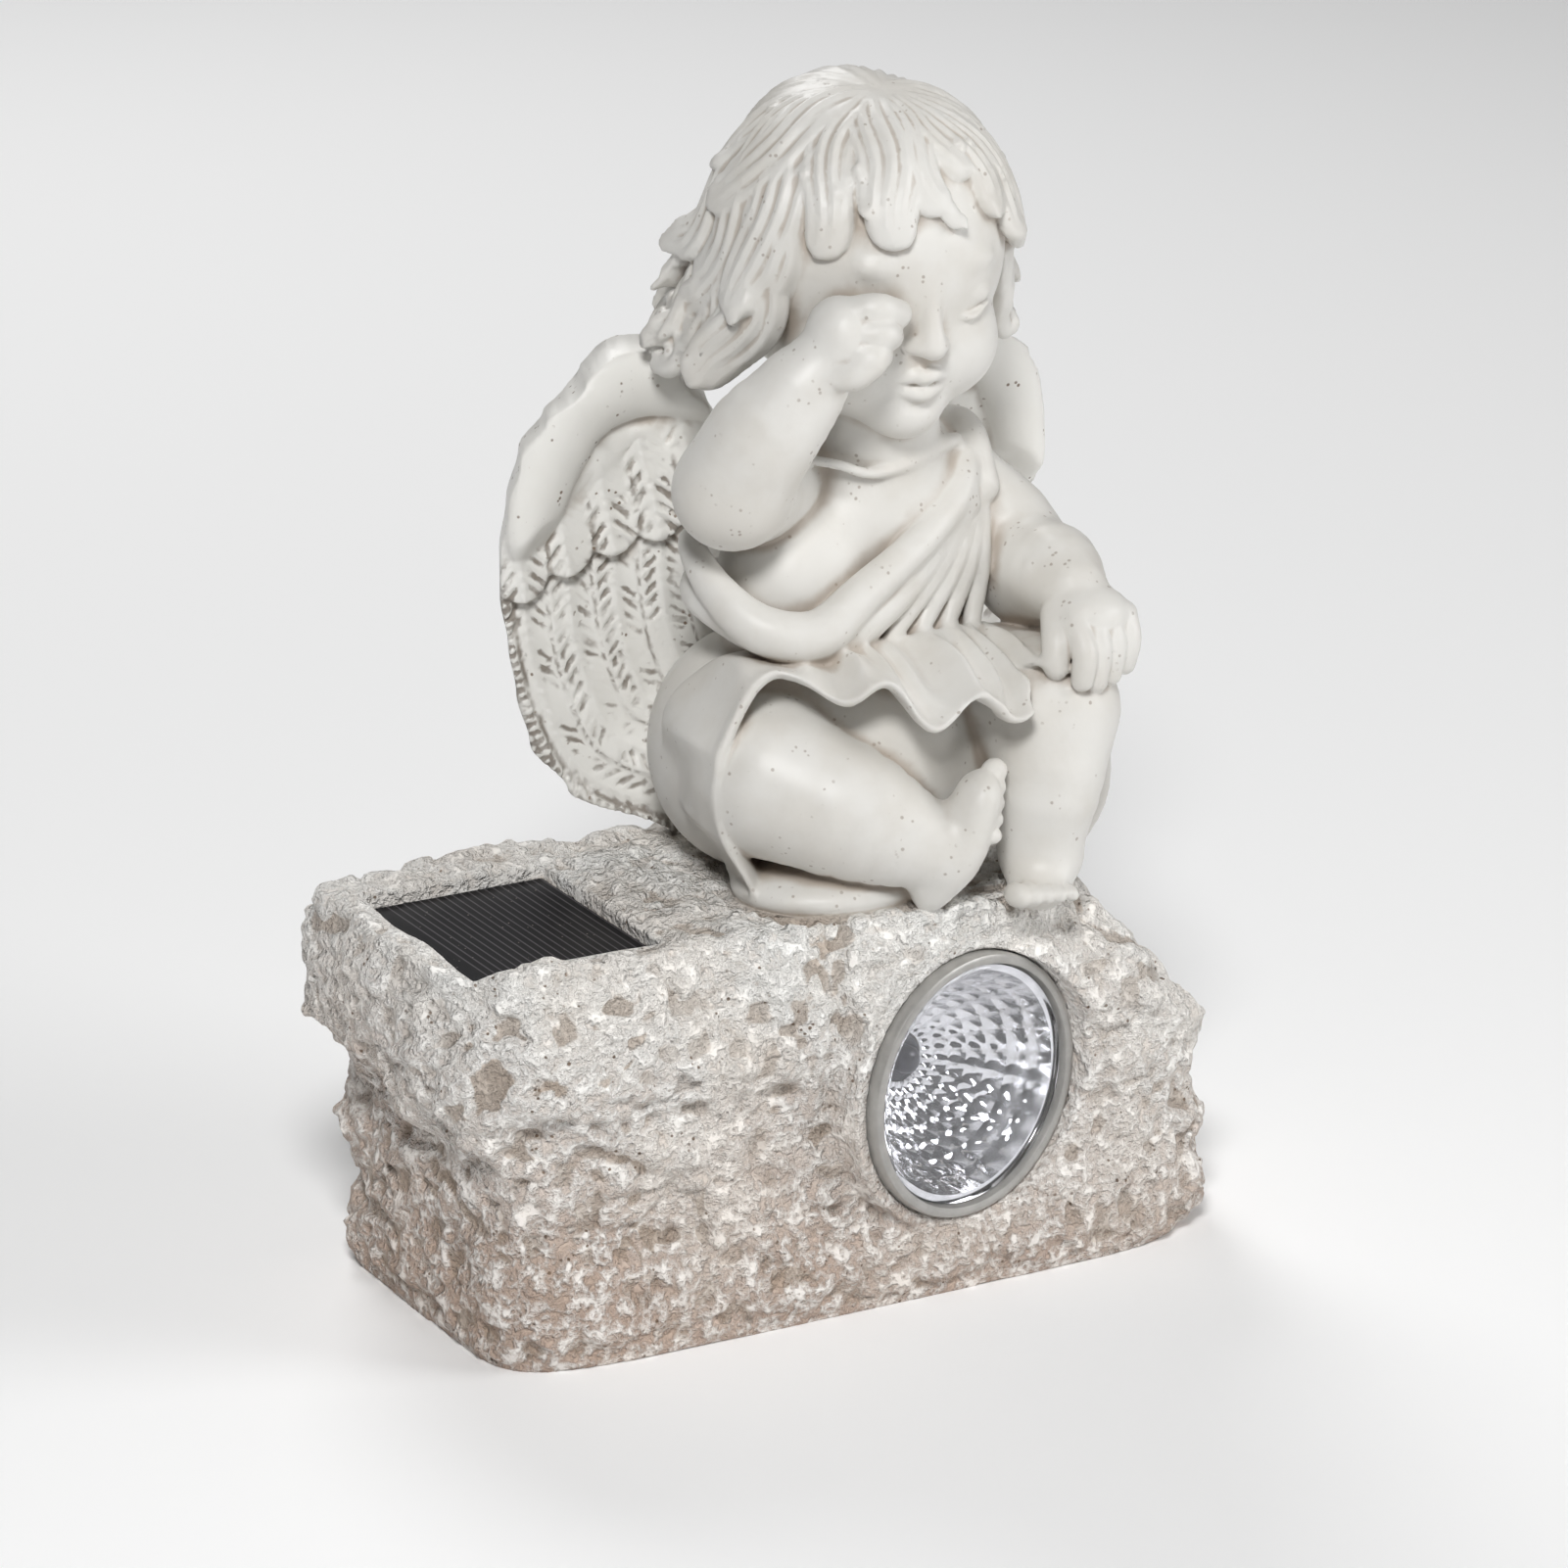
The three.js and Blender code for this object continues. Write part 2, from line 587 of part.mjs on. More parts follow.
function lampCup() {
  return turned([
    [0, -cupDepth],
    [cupRadius, -cupDepth],
    [cupRadius, rimStandsOut - rimThickness],
    [rimRadius, rimStandsOut - rimThickness],
    [rimRadius, rimStandsOut - 0.9],
    [rimRadius - 0.9, rimStandsOut],
    [rimInner + 0.7, rimStandsOut],
    [rimInner, rimStandsOut - 0.8],
    [rimInner, cupFloor],
    [0, cupFloor],
  ]);
}

function lampLens() {
  const r = rimInner - clearance;
  return turned([
    [0, lensSeat],
    [r, lensSeat],
    [r, lensSeat + lensThickness - 0.5],
    [r - 1.2, lensSeat + lensThickness],
    [0, lensSeat + lensThickness + 0.3],
  ]);
}

function lampBowl() {
  const r = rimInner - clearance;
  const hole = diodeRadius + clearance;
  const inside = [];
  const outside = [];
  const rings = 4;
  for (let i = 0; i <= rings; i++) {
    const t = i / rings;
    const radius = mix(hole, r - 1.6, t);
    const depth = bowlTop - bowlDepth * (1 - t ** 1.8);
    inside.push([radius, depth]);
    outside.push([radius + bowlWall * 0.7, depth - bowlWall]);
  }
  const profile = [...inside, [r, bowlTop], [r, bowlTop - bowlWall], ...outside.reverse().slice(1), inside[0]];
  return turned(profile);
}

function lampDiode() {
  const foot = cupFloor + clearance;
  const top = bowlTop - bowlDepth + 0.4;
  return turned(
    [
      [0, foot],
      [diodeRadius, foot],
      [diodeRadius, top],
      [diodeRadius * 0.62, top],
      [diodeRadius * 0.6, top + diodeHeight * 0.6],
      [diodeRadius * 0.35, top + diodeHeight],
      [0, top + diodeHeight],
    ],
    12,
  );
}

const cellCentre = [
  rockMiddle[0] - rockWidth / 2 + cellFromLeft + cellWidth / 2,
  rockMiddle[1] - rockDepth / 2 + cellFromFront + cellLength / 2,
];

function box(width, length, height, low) {
  const made = new THREE.BoxGeometry(width, length, height);
  made.translate(cellCentre[0], cellCentre[1], low + height / 2);
  return solid(made);
}

function cellRecess() {
  const low = rockHeight - cellSunk - cellThickness - clearance;
  return box(cellWidth + 2 * clearance, cellLength + 2 * clearance, rockHeight, low);
}

function solarCell() {
  return box(cellWidth, cellLength, cellThickness, rockHeight - cellSunk - cellThickness);
}

const cutouts = join([rimSeat(), bore(), cellRecess()]);
const casting = withoutPockets(join([solid(rockBody()), lampBoss(), figure()]).subtract(cutouts));

const statue = new THREE.Group();
statue.add(meshOf("statue_casting", casting, stoneWhite));
statue.add(meshOf("solar_cell", solarCell(), cellBlack));
statue.add(meshOf("lamp_cup", lampCup(), rimGrey));
statue.add(meshOf("lamp_reflector", lampBowl(), bowlChrome));
statue.add(meshOf("lamp_diode", lampDiode(), diodeDark));
statue.add(meshOf("lamp_lens", lampLens(), clearPlastic));

// The origin is the middle of the underside of the whole part's box.
const reach = new THREE.Box3().setFromObject(statue);
statue.position.set(-(reach.min.x + reach.max.x) / 2, -(reach.min.y + reach.max.y) / 2, -reach.min.z);

export default statue;
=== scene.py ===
# Looks of the cherub garden ornament: one carved and painted casting, a solar cell and a round lamp.
import math

import bmesh
import bpy
import numpy as np
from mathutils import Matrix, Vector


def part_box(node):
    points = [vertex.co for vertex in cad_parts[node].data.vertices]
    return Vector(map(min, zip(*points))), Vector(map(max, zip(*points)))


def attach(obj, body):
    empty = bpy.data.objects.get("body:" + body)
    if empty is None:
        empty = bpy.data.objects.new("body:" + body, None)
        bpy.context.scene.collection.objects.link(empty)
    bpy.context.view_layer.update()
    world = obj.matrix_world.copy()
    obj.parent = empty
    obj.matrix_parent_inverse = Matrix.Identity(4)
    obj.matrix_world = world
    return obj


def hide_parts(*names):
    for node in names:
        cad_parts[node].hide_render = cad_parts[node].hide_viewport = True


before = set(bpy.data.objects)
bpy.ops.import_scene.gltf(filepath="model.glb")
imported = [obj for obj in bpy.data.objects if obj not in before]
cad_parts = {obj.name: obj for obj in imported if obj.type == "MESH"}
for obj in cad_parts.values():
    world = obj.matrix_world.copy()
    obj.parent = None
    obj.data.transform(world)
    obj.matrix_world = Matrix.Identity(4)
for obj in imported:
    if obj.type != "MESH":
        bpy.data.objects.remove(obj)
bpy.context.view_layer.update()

import openvdb as vdb
from mathutils import Matrix, Vector

# The sculpt is worked out in millimetres with the rock's foot at height 0. The solar cell's middle gives
# the way from there to the frame's own origin.
ROCK_HEIGHT = 80.0
CELL_MIDDLE = np.array([-63.2, -8.0])
cell_low, cell_high = (np.array(corner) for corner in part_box("solar_cell"))
SHIFT = np.array([*((cell_low + cell_high)[:2] * 500 - CELL_MIDDLE), 0])

# The sculpt's grid step, and how many triangles the casting's skin is thinned to.
STEP = 0.5
TRIANGLES = 190_000
# Strands to half a lock's width.
STRANDS = 2


# Plain numbers

def smoothstep(x, a, b):
    t = np.clip((x - a) / (b - a), 0, 1)
    return t * t * (3 - 2 * t)


def bump(x, middle, width):
    return np.exp(-(((x - middle) / width) ** 2))


def mix(a, b, t):
    return a + (b - a) * t


def lattice(x, y, z):
    wave = np.sin(x * 127.1 + y * 311.7 + z * 74.7) * 43758.5453
    return (wave - np.floor(wave)) * 2 - 1


def corners(f):
    """The eight corners of a cell, each with its share at a place f of the way along x, y and z."""
    for dx in (0, 1):
        for dy in (0, 1):
            for dz in (0, 1):
                share = (f[0] if dx else 1 - f[0]) * (f[1] if dy else 1 - f[1]) * (f[2] if dz else 1 - f[2])
                yield dx, dy, dz, share


def noise(x, y, z):
    """Smooth repeatable noise from -1 to 1 with one lump to a unit."""
    x, y, z = np.broadcast_arrays(*(np.asarray(v, np.float64) for v in (x, y, z)))
    ix, iy, iz = np.floor(x), np.floor(y), np.floor(z)
    f = [t * t * (3 - 2 * t) for t in (x - ix, y - iy, z - iz)]
    return sum(share * lattice(ix + dx, iy + dy, iz + dz) for dx, dy, dz, share in corners(f))


def through(stops, share):
    """A value that runs smoothly through evenly spaced stops as share goes from 0 to 1."""
    stops = np.asarray(stops, np.float64)
    place = np.clip(share, 0, 1) * (len(stops) - 1)
    i = np.minimum(np.floor(place).astype(int), len(stops) - 2)
    return mix(stops[i], stops[i + 1], smoothstep(place - i, 0, 1))


def curve(stations, count):
    """Points on a smooth curve through the stations, with every column carried along."""
    p = np.asarray(stations, np.float64)
    p = np.vstack([2 * p[0] - p[1], p, 2 * p[-1] - p[-2]])
    at = np.linspace(0, len(p) - 3, count)
    i = np.minimum(at.astype(int), len(p) - 4)
    t = (at - i)[:, None]
    a, b, c, d = p[i], p[i + 1], p[i + 2], p[i + 3]
    return 0.5 * (2 * b + (c - a) * t + (2 * a - 5 * b + 4 * c - d) * t**2 + (3 * b - a - 3 * c + d) * t**3)


# Clay: a solid kept as distances to its skin on a grid, negative inside

def dot(q, way):
    return q[0] * way[0] + q[1] * way[1] + q[2] * way[2]


def smooth_min(a, b, k):
    h = np.clip(0.5 + 0.5 * (b - a) / k, 0, 1)
    return b + (a - b) * h - k * h * (1 - h)


class Clay:
    """Distances on a grid whose points lie at whole steps from the origin."""

    FAR = 9.0

    def __init__(self, low, high):
        self.start = np.floor(np.asarray(low) / STEP).astype(int)
        self.end = np.ceil(np.asarray(high) / STEP).astype(int)
        self.d = np.full(self.end - self.start, self.FAR, np.float32)

    def window(self, low, high):
        """The part of the grid inside a box, and its points' x, y and z."""
        a = np.clip(np.floor(np.asarray(low) / STEP).astype(int), self.start, self.end) - self.start
        b = np.clip(np.ceil(np.asarray(high) / STEP).astype(int), self.start, self.end) - self.start
        axes = [(np.arange(p, q) + s).astype(np.float32) * STEP for p, q, s in zip(a, b, self.start)]
        where = tuple(slice(p, q) for p, q in zip(a, b))
        return where, axes[0][:, None, None], axes[1][None, :, None], axes[2][None, None, :]

    def join(self, other, blend, cut=False):
        """Adds or takes away another clay, with a soft seam as wide as blend."""
        a = np.maximum(self.start, other.start)
        b = np.minimum(self.end, other.end)
        if (b <= a).any():
            return
        mine = tuple(slice(p, q) for p, q in zip(a - self.start, b - self.start))
        theirs = tuple(slice(p, q) for p, q in zip(a - other.start, b - other.start))
        self.blend_in(mine, other.d[theirs], blend, cut)

    def press(self, low, high, distance, blend, cut=False):
        """Adds or takes away a form that distance gives, inside a box."""
        where, x, y, z = self.window(low, high)
        self.blend_in(where, distance(x, y, z).astype(np.float32), blend, cut)

    def blend_in(self, where, d, blend, cut):
        sign = -1 if cut else 1
        self.d[where] = sign * smooth_min(sign * self.d[where], d, blend)


def blob(clay, centre, radii, blend=3, turn=None, cut=False):
    """An egg-shaped lump. turn is a 3 by 3 turning matrix."""
    c, r = np.asarray(centre, float), np.asarray(radii, float)
    reach = r.max() + blend + 1

    def distance(x, y, z):
        q = [x - c[0], y - c[1], z - c[2]]
        if turn is not None:
            q = [dot(q, turn[:, k]) for k in range(3)]
        k0 = np.sqrt((q[0] / r[0]) ** 2 + (q[1] / r[1]) ** 2 + (q[2] / r[2]) ** 2)
        k1 = np.sqrt((q[0] / r[0] ** 2) ** 2 + (q[1] / r[1] ** 2) ** 2 + (q[2] / r[2] ** 2) ** 2)
        return k0 * (k0 - 1) / np.maximum(k1, 1e-6)

    clay.press(c - reach, c + reach, distance, blend, cut)


def limb(clay, stations, blend=3, count=None, flat=1.0, facing=None, outward=False, groove=0, cut=False):
    """A rod with soft ends through stations of [x, y, z, radius].

    flat thins it along facing, or along the way out from facing where outward is set, and groove is the
    depth of the lines that part that side into strands.
    """
    s = np.asarray(stations, float)
    length = np.linalg.norm(np.diff(s[:, :3], axis=0), axis=1).sum()
    count = count or max(3, int(length / max(1.0, s[:, 3].mean() * 0.4)) + 2)
    p = curve(s, count)
    p[:, 3] = np.maximum(p[:, 3], 0.2)
    pad = blend + 1.5
    reach = p[:, 3].max() + pad
    part = Clay(p[:, :3].min(0) - reach, p[:, :3].max(0) + reach)
    facing = None if facing is None else np.asarray(facing, float)
    travelled = 0.0
    for a, b in zip(p[:-1], p[1:]):
        r = max(a[3], b[3]) + pad
        where, x, y, z = part.window(np.minimum(a, b)[:3] - r, np.maximum(a, b)[:3] + r)
        ab = b[:3] - a[:3]
        long = np.linalg.norm(ab)
        along = ab / long
        q = [x - a[0], y - a[1], z - a[2]]
        t = np.clip(dot(q, along) / long, 0, 1)
        q = [q[k] - t * ab[k] for k in range(3)]
        radius = mix(a[3], b[3], t)
        if flat == 1 and not groove:
            d = np.sqrt(q[0] ** 2 + q[1] ** 2 + q[2] ** 2) - radius
        else:
            look = (a[:3] + b[:3]) / 2 - facing if outward else facing
            look = look - along * look.dot(along)
            look = look / np.linalg.norm(look)
            side = np.cross(along, look)
            qf, qs, qa = dot(q, look) / flat, dot(q, side), dot(q, along)
            k0 = np.sqrt(qf**2 + qs**2 + qa**2)
            k1 = np.sqrt((qf / flat) ** 2 + qs**2 + qa**2)
            d = (k0 - radius) * k0 / np.maximum(k1, 1e-6)
            if groove:
                fade = math.sin(math.pi * min(1, 0.12 + 0.88 * travelled / length))
                d = d + groove * fade * (0.5 + 0.5 * np.cos(2 * math.pi * STRANDS * qs / radius)) * (qf > 0)
        part.d[where] = np.minimum(part.d[where], d)
        travelled += long
    clay.join(part, blend, cut)


def box_faces(nx, ny, nz):
    """The skin of a block from -1 to 1 as a fine net of four-sided faces."""
    points, faces = [], []
    for axis, (n1, n2) in enumerate(((ny, nz), (nx, nz), (nx, ny))):
        for end in (-1, 1):
            g1, g2 = np.meshgrid(np.linspace(-1, 1, n1 + 1), np.linspace(-1, 1, n2 + 1), indexing="ij")
            p = np.empty((g1.size, 3))
            others = [k for k in range(3) if k != axis]
            p[:, axis], p[:, others[0]], p[:, others[1]] = end, g1.ravel(), g2.ravel()
            i = np.arange(n1 * (n2 + 1)).reshape(n1, n2 + 1)[:, :n2].ravel() + sum(len(q) for q in points)
            quad = np.stack([i, i + n2 + 1, i + n2 + 2, i + 1], 1)
            faces.append(quad if (end > 0) != (axis == 1) else quad[:, ::-1])
            points.append(p)
    return np.vstack(points), np.vstack(faces)


def net_clay(points, faces, band=9):
    """Clay from a closed net of faces."""
    grid = vdb.FloatGrid.createLevelSetFromPolygons(
        (points / STEP).astype(np.float32), quads=faces.astype(np.uint32), halfWidth=float(band)
    )
    made = Clay(points.min(0) - band * STEP, points.max(0) + band * STEP)
    grid.copyToArray(made.d, ijk=tuple(int(v) for v in made.start))
    made.d *= STEP
    return made


# The rock

ROCK_WIDTH, ROCK_DEPTH, ROCK_MIDDLE = 164.0, 86.0, (-2.0, -5.0)
CORNER_POWER = 7
# How far each side stands out or in, at even steps from the foot to the top.
ROCK_SIDES = {
    "left": [-1, 0, -1, -1, -2, -3, 2, 7, 9, 8, 5],
    "right": [-5, -1, 0, 1, 0, -1, -2, -4, -11, -23, -34],
    "front": [-1, 0, -2, -4, -4, -4, -4, -2, -2, -5, -8],
    "back": [0, 0, 1, 1, 0, 0, -1, -2, -4, -6, -9],
}


def crag(x, y, z):
    """Broad ridges and hollows of the rock's sides, in millimetres."""
    ridge = 1 - 2 * np.abs(noise(x / 30 + 4, y / 30, (z + 0.5 * x) / 24))
    return 3.4 * (0.6 * ridge + 0.8 * noise(x / 12, y / 12, z / 8))


def rock_top(x, y):
    rim = 2 * smoothstep(-y, 33, 40) * smoothstep(-x, 20, 50)
    return ROCK_HEIGHT + rim - 26 * smoothstep(x, 44, 92) ** 1.2 + 0.8 * noise(x / 14, y / 14, 3)


def rock_clay():
    n = 1
    p, faces = box_faces(280 // n, 150 // n, 140 // n)
    a, b, share = p[:, 0], p[:, 1], (p[:, 2] + 1) / 2
    outward = np.maximum(np.abs(a), np.abs(b))
    power = (np.abs(a) ** CORNER_POWER + np.abs(b) ** CORNER_POWER + 1e-12) ** (-1 / CORNER_POWER)
    pull = mix(1, power * outward, outward**3)
    ways = {"left": -a, "right": a, "front": -b, "back": b}
    out = {side: smoothstep(way, 0.3, 1) * through(ROCK_SIDES[side], share) for side, way in ways.items()}
    x = ROCK_MIDDLE[0] + pull * a * ROCK_WIDTH / 2 + out["right"] - out["left"]
    y = ROCK_MIDDLE[1] + pull * b * ROCK_DEPTH / 2 + out["back"] - out["front"]
    z = share * rock_top(x, y)
    rough = crag(x, y, z) * np.minimum(1, share * 4) * smoothstep(outward, 0.9, 1)
    away = np.stack([x - ROCK_MIDDLE[0], (y - ROCK_MIDDLE[1]) * 1.6], 1)
    away /= np.maximum(np.linalg.norm(away, axis=1, keepdims=True), 1e-6)
    # A shallow cleft runs down the front beside the lamp.
    rough = rough - 2 * bump(x, -14 + 0.12 * (z - 40), 3.6) * smoothstep(z, 38, 60) * smoothstep(-y, 30, 40)
    points = np.stack([x + rough * away[:, 0], y + rough * away[:, 1], z], 1)
    return net_clay(points, faces)


def crumbs(p):
    """Small lumps and pits of the rock's skin, as a height over it."""
    x, y, z = p.T
    warp = 1.5 * noise(x / 6, y / 6, z / 6 + 7)
    x, z = x + warp, z - warp
    lumps = (1 - 2 * np.abs(noise(x / 7, y / 7, z / 5.5))) * 0.7
    chips = smoothstep(noise(x / 2.9 + 9, y / 2.9, z / 2.6), -0.3, 0.35) * 1.1 - 0.55
    fine = noise(x / 1.8, y / 1.8 + 5, z / 1.7) * 0.3
    return lumps + chips + fine


# The figure. Heights are above the rock's top.

def torso(c):
    blob(c, [17, 4, 14], [31, 25, 21], 5)
    blob(c, [18, -3, 38], [22, 18, 22], 5)
    blob(c, [21, -1, 62], [21, 16.5, 21], 5)
    blob(c, [2, -6, 58], [17, 14.5, 18], 5)
    blob(c, [20, -2, 71], [20, 15.5, 13], 5)
    limb(c, [[5, 3, 79, 11], [21, 0, 80, 13], [42, 2, 69, 11]], 4)
    limb(c, [[20, -3, 76, 14], [19, -7, 92, 12.5]], 4)


def right_arm(c):
    elbow, wrist = [-18.5, -17, 83], [-5.5, -27.5, 108]
    limb(c, [[5, 3, 79, 11], [-8, -7, 80, 11.2], [*elbow, 11]], 3)
    limb(c, [[*elbow, 11], [-15, -22, 94, 10.8], [-10, -25.5, 101.5, 9], [*wrist, 7.2]], 3)
    limb(c, [[-11, -24.5, 100, 8.8], [-8.6, -26, 104, 8.4]], 1.2)
    hand = np.array([2.3, 4.1, -1.6])
    blob(c, hand + [-4, -33.5, 116], [6.5, 7.5, 8], 2)
    for finger in (
        [[-4, -34, 120.5, 3.2], [1, -38.5, 122, 3.1], [6.5, -37, 120, 2.9]],
        [[-4, -36, 117, 3.2], [1, -40.5, 117.5, 3], [4.5, -37.5, 116, 2.8]],
        [[-5, -37, 113.5, 3.1], [-1, -41, 113.5, 2.9], [2, -38, 112.5, 2.7]],
        [[-8, -34, 110.5, 3.4], [-5, -39.5, 110, 3.2], [-1.5, -41.5, 112.5, 2.9]],
    ):
        limb(c, finger + np.array([*hand, 0]), 0.7)


def left_arm(c):
    elbow = [51, -13, 55]
    limb(c, [[42, 2, 69, 11], [49, -5, 62, 11], [*elbow, 10]], 3)
    limb(c, [[*elbow, 10.4], [50, -23, 58, 9.8], [48.5, -33, 57, 7.4]], 3)
    blob(c, [49, -39.5, 54], [8.2, 7, 5.5], 2)
    limb(c, [[43, -37, 54, 3.4], [40, -42, 50, 3.1], [39, -43.5, 46, 2.7]], 0.6)
    for i in range(4):
        x = 43.4 + 4 * i
        drop = 1.2 * abs(i - 1.3)
        limb(c, [
            [x, -43 + 0.5 * i, 53.5, 2.8],
            [x - 0.3, -47.3 + 1.1 * i, 49, 2.6],
            [x - 0.8, -47.3 + 1.3 * i, 42 + drop, 2.3],
        ], 0.6)


def left_leg(c):
    limb(c, [[34, 2, 18, 17], [40, -18, 30, 16], [43.5, -34, 34, 13]], 3)
    limb(c, [[43.5, -35, 34, 12.8], [39.5, -40, 22, 11], [38.5, -40, 14, 9.4], [38, -40, 8, 8.4]], 3)
    foot = [[40, -36, 6, 7.8], [37.5, -41, 5, 7.4], [34.5, -45.5, 2.6, 6.4]]
    limb(c, foot, 3, flat=0.7, facing=[0, 0, 1])
    for i in range(5):
        toe = [27 + 2.6 * i, -49.6 - 0.6 * i, 2.4 - 0.1 * i]
        blob(c, toe, [2.2 - 0.17 * i, 3.7 - 0.2 * i, 2.5 - 0.2 * i], 0.5)


def right_leg(c):
    limb(c, [[2, 2, 19, 18], [-7, -10, 24, 17.5], [-11, -18, 24, 15.5]], 3)
    limb(c, [[-12, -21, 24.5, 15.5], [-2, -31, 19.5, 13.6], [5.5, -37, 15.5, 10.8], [11, -41, 13, 8.4]], 3)
    foot = [[13.5, -41, 5.5, 6.5], [17, -43, 12, 8], [20.3, -45, 21.5, 6.6]]
    limb(c, foot, 3, flat=0.7, facing=[1, -0.35, 0])
    for i in range(5):
        toe = [24.8 - 0.7 * i, -44 - 1.1 * i, 26.8 - 2.9 * i]
        blob(c, toe, [2.7 - 0.2 * i, 2.4 - 0.15 * i, 2.6 - 0.25 * i], 0.5)


# Head and hair are drawn about the middle of the head, facing -Y, then set on the neck.
HEAD_AT = np.array([18.5, -3.5, 121.5])
HEAD_TURN = np.array((
    Matrix.Rotation(-0.02, 3, "Z") @ Matrix.Rotation(0.03, 3, "Y") @ Matrix.Rotation(0.14, 3, "X")
))


def on_head(points):
    p = np.asarray(points, float).copy()
    p[..., :3] = p[..., :3] @ HEAD_TURN.T + HEAD_AT
    return p


def face(c):
    def lump(centre, radii, blend, cut=False):
        blob(c, on_head(centre), radii, blend, HEAD_TURN, cut)

    def line(stations, blend, cut=False):
        limb(c, on_head(stations), blend, cut=cut)

    lump([0, 0, 3], [24.5, 27.5, 25], 4)
    lump([0, -9, -12], [20, 18, 17.5], 5)
    for side in (-1, 1):
        lump([10.8 * side, -16, -12], [9.8, 9.6, 9.8], 5)
        # The brow, the socket, the closed lid and its two creases.
        lump([9 * side, -22.8, 8], [6, 2.6, 2.4], 3.5)
        lump([9.8 * side, -26.6, 1.6], [5.8, 2.6, 3.4], 2.5, cut=True)
        lump([9.8 * side, -22.3, 0.6], [5.4, 3.5, 3.5], 1)
        lid = [[4.8 * side, -24.8, -0.8, 0.4], [9.6 * side, -26.1, -2, 0.6], [14.8 * side, -22.9, -0.5, 0.4]]
        line(lid, 0.6, cut=True)
        fold = [[5.2 * side, -25, 3.2, 0.3], [9.8 * side, -25.9, 4.6, 0.5], [14.8 * side, -22.9, 2.6, 0.3]]
        line(fold, 0.8, cut=True)
        lash = [[5.2 * side, -25, -1.9, 0.5], [9.8 * side, -26, -3.3, 0.7], [14.8 * side, -23.2, -1.6, 0.5]]
        line(lash, 0.8)
        # The side of the nose.
        lump([2.9 * side, -27.2, -7.5], [1.8, 2, 1.7], 0.9)
        lump([1.6 * side, -29.2, -9.3], [0.8, 1.1, 0.6], 0.6, cut=True)
    lump([0, -20.5, -23], [7.6, 6.4, 6.4], 4)
    line([[0, -25.4, 4, 2], [0, -27, 0, 1.9], [0, -28.2, -3.5, 2.1], [0, -29.4, -7, 2.8]], 2)
    line([[0, -28.4, -10, 0.5], [0, -28, -12.6, 0.6]], 1.2, cut=True)
    line([[-5.8, -25.4, -15.2, 0.8], [-2, -27.4, -13.7, 1.5], [0, -27.5, -14.3, 1.5], [2, -27.4, -13.7, 1.5],
          [5.8, -25.4, -15.2, 0.8]], 0.8)
    line([[-4.2, -25.7, -17.1, 1], [0, -27, -17.7, 1.8], [4.2, -25.7, -17.1, 1]], 0.8)
    line([[-6, -26.4, -15.5, 0.2], [0, -29, -15.9, 0.3], [6, -26.4, -15.5, 0.2]], 0.4, cut=True)
    lump([0, -28, -20.8], [4, 1.4, 0.9], 1.6, cut=True)


SCALP, SCALP_RADII = np.array([0, 2.5, 4]), np.array([26.5, 29.5, 28.5])
# Heading, reach, width, flip and sweep of each lock over the brow.
FRINGE = [
    [-74, 104, 6, 2, 4],
    [-54, 84, 5.5, 2, 6],
    [-36, 64, 5, 1.5, 14],
    [-22, 76, 6, 2.5, 8],
    [-2, 64, 5, 2, 2],
    [14, 52, 4.5, 1.5, 8],
    [34, 72, 5, 2.5, 4],
    [48, 86, 5.5, 4, 8],
    [68, 96, 6, 5, 4],
    [84, 106, 6, 4, 0],
]
# Rows of locks from the lowest up: how many, first and last heading, start, reach, width and flip.
TIERS = [
    (11, 86, 288, 80, 142, 6, 1.5),
    (12, 82, 290, 58, 128, 5.5, 1),
    (13, 88, 286, 34, 112, 6, 4),
    (11, 94, 276, 6, 80, 6.4, 2.5),
]
# Small curls under the locks behind the ears: heading, reach and radius.
CURLS = [
    (274, 116, 5), (262, 127, 5.5), (248, 122, 5), (236, 136, 5), (252, 139, 4.5),
    (94, 118, 5), (108, 130, 5),
]


def on_scalp(heading, reach, lift=0.0):
    """Places over the scalp by heading and reach from the crown. Past the widest part the hair hangs down."""
    heading, reach = np.radians(heading), np.asarray(reach, float)
    past = np.clip(reach - 90, 0, None)
    behind = 0.5 - 0.5 * np.cos(heading)
    over = np.radians(np.minimum(reach, 90))
    level = np.where(reach < 90, np.sin(over), 1 + 0.32 * behind * (past / 45) ** 1.5)
    height = np.where(reach < 90, np.cos(over), -np.radians(past) * 0.95)
    way = np.stack([level * np.sin(heading), -level * np.cos(heading), height], -1)
    return SCALP + (SCALP_RADII + np.asarray(lift)[..., None]) * way


def lock(c, heading, reach, width, flip, sweep, start=6, groove=0.9, wave=4):
    t = np.linspace(0, 1, 15)
    down = mix(start, reach, t) - 6 * smoothstep(t, 0.82, 1)
    around = heading + sweep * t * t + wave * np.sin(2 * math.pi * (1.2 * t + heading / 77))
    points = on_scalp(around, down, 1.2 * np.sin(math.pi * t) + flip * t**5)
    radius = width * (0.5 + 0.5 * np.sin(math.pi * (0.12 + 0.72 * t)))
    radius[-3:] *= (0.95, 0.78, 0.45)
    stations = on_head(np.column_stack([points, radius]))
    limb(c, stations, 0.4, count=34, flat=0.5, facing=on_head(SCALP), outward=True, groove=groove)


def curl(c, heading, reach, radius):
    """A flat spiral of hair lying on the head."""
    turn = np.linspace(0, 3.4 * math.pi, 22)
    size = radius * (1 - 0.8 * turn / turn[-1])
    around, down = heading + 2.2 * size * np.sin(turn), reach + 2.0 * size * np.cos(turn)
    points = on_scalp(around, down, 1.5 + 0.12 * turn)
    limb(c, on_head(np.column_stack([points, np.linspace(2.2, 1.2, 22)])), 0.4, count=60)


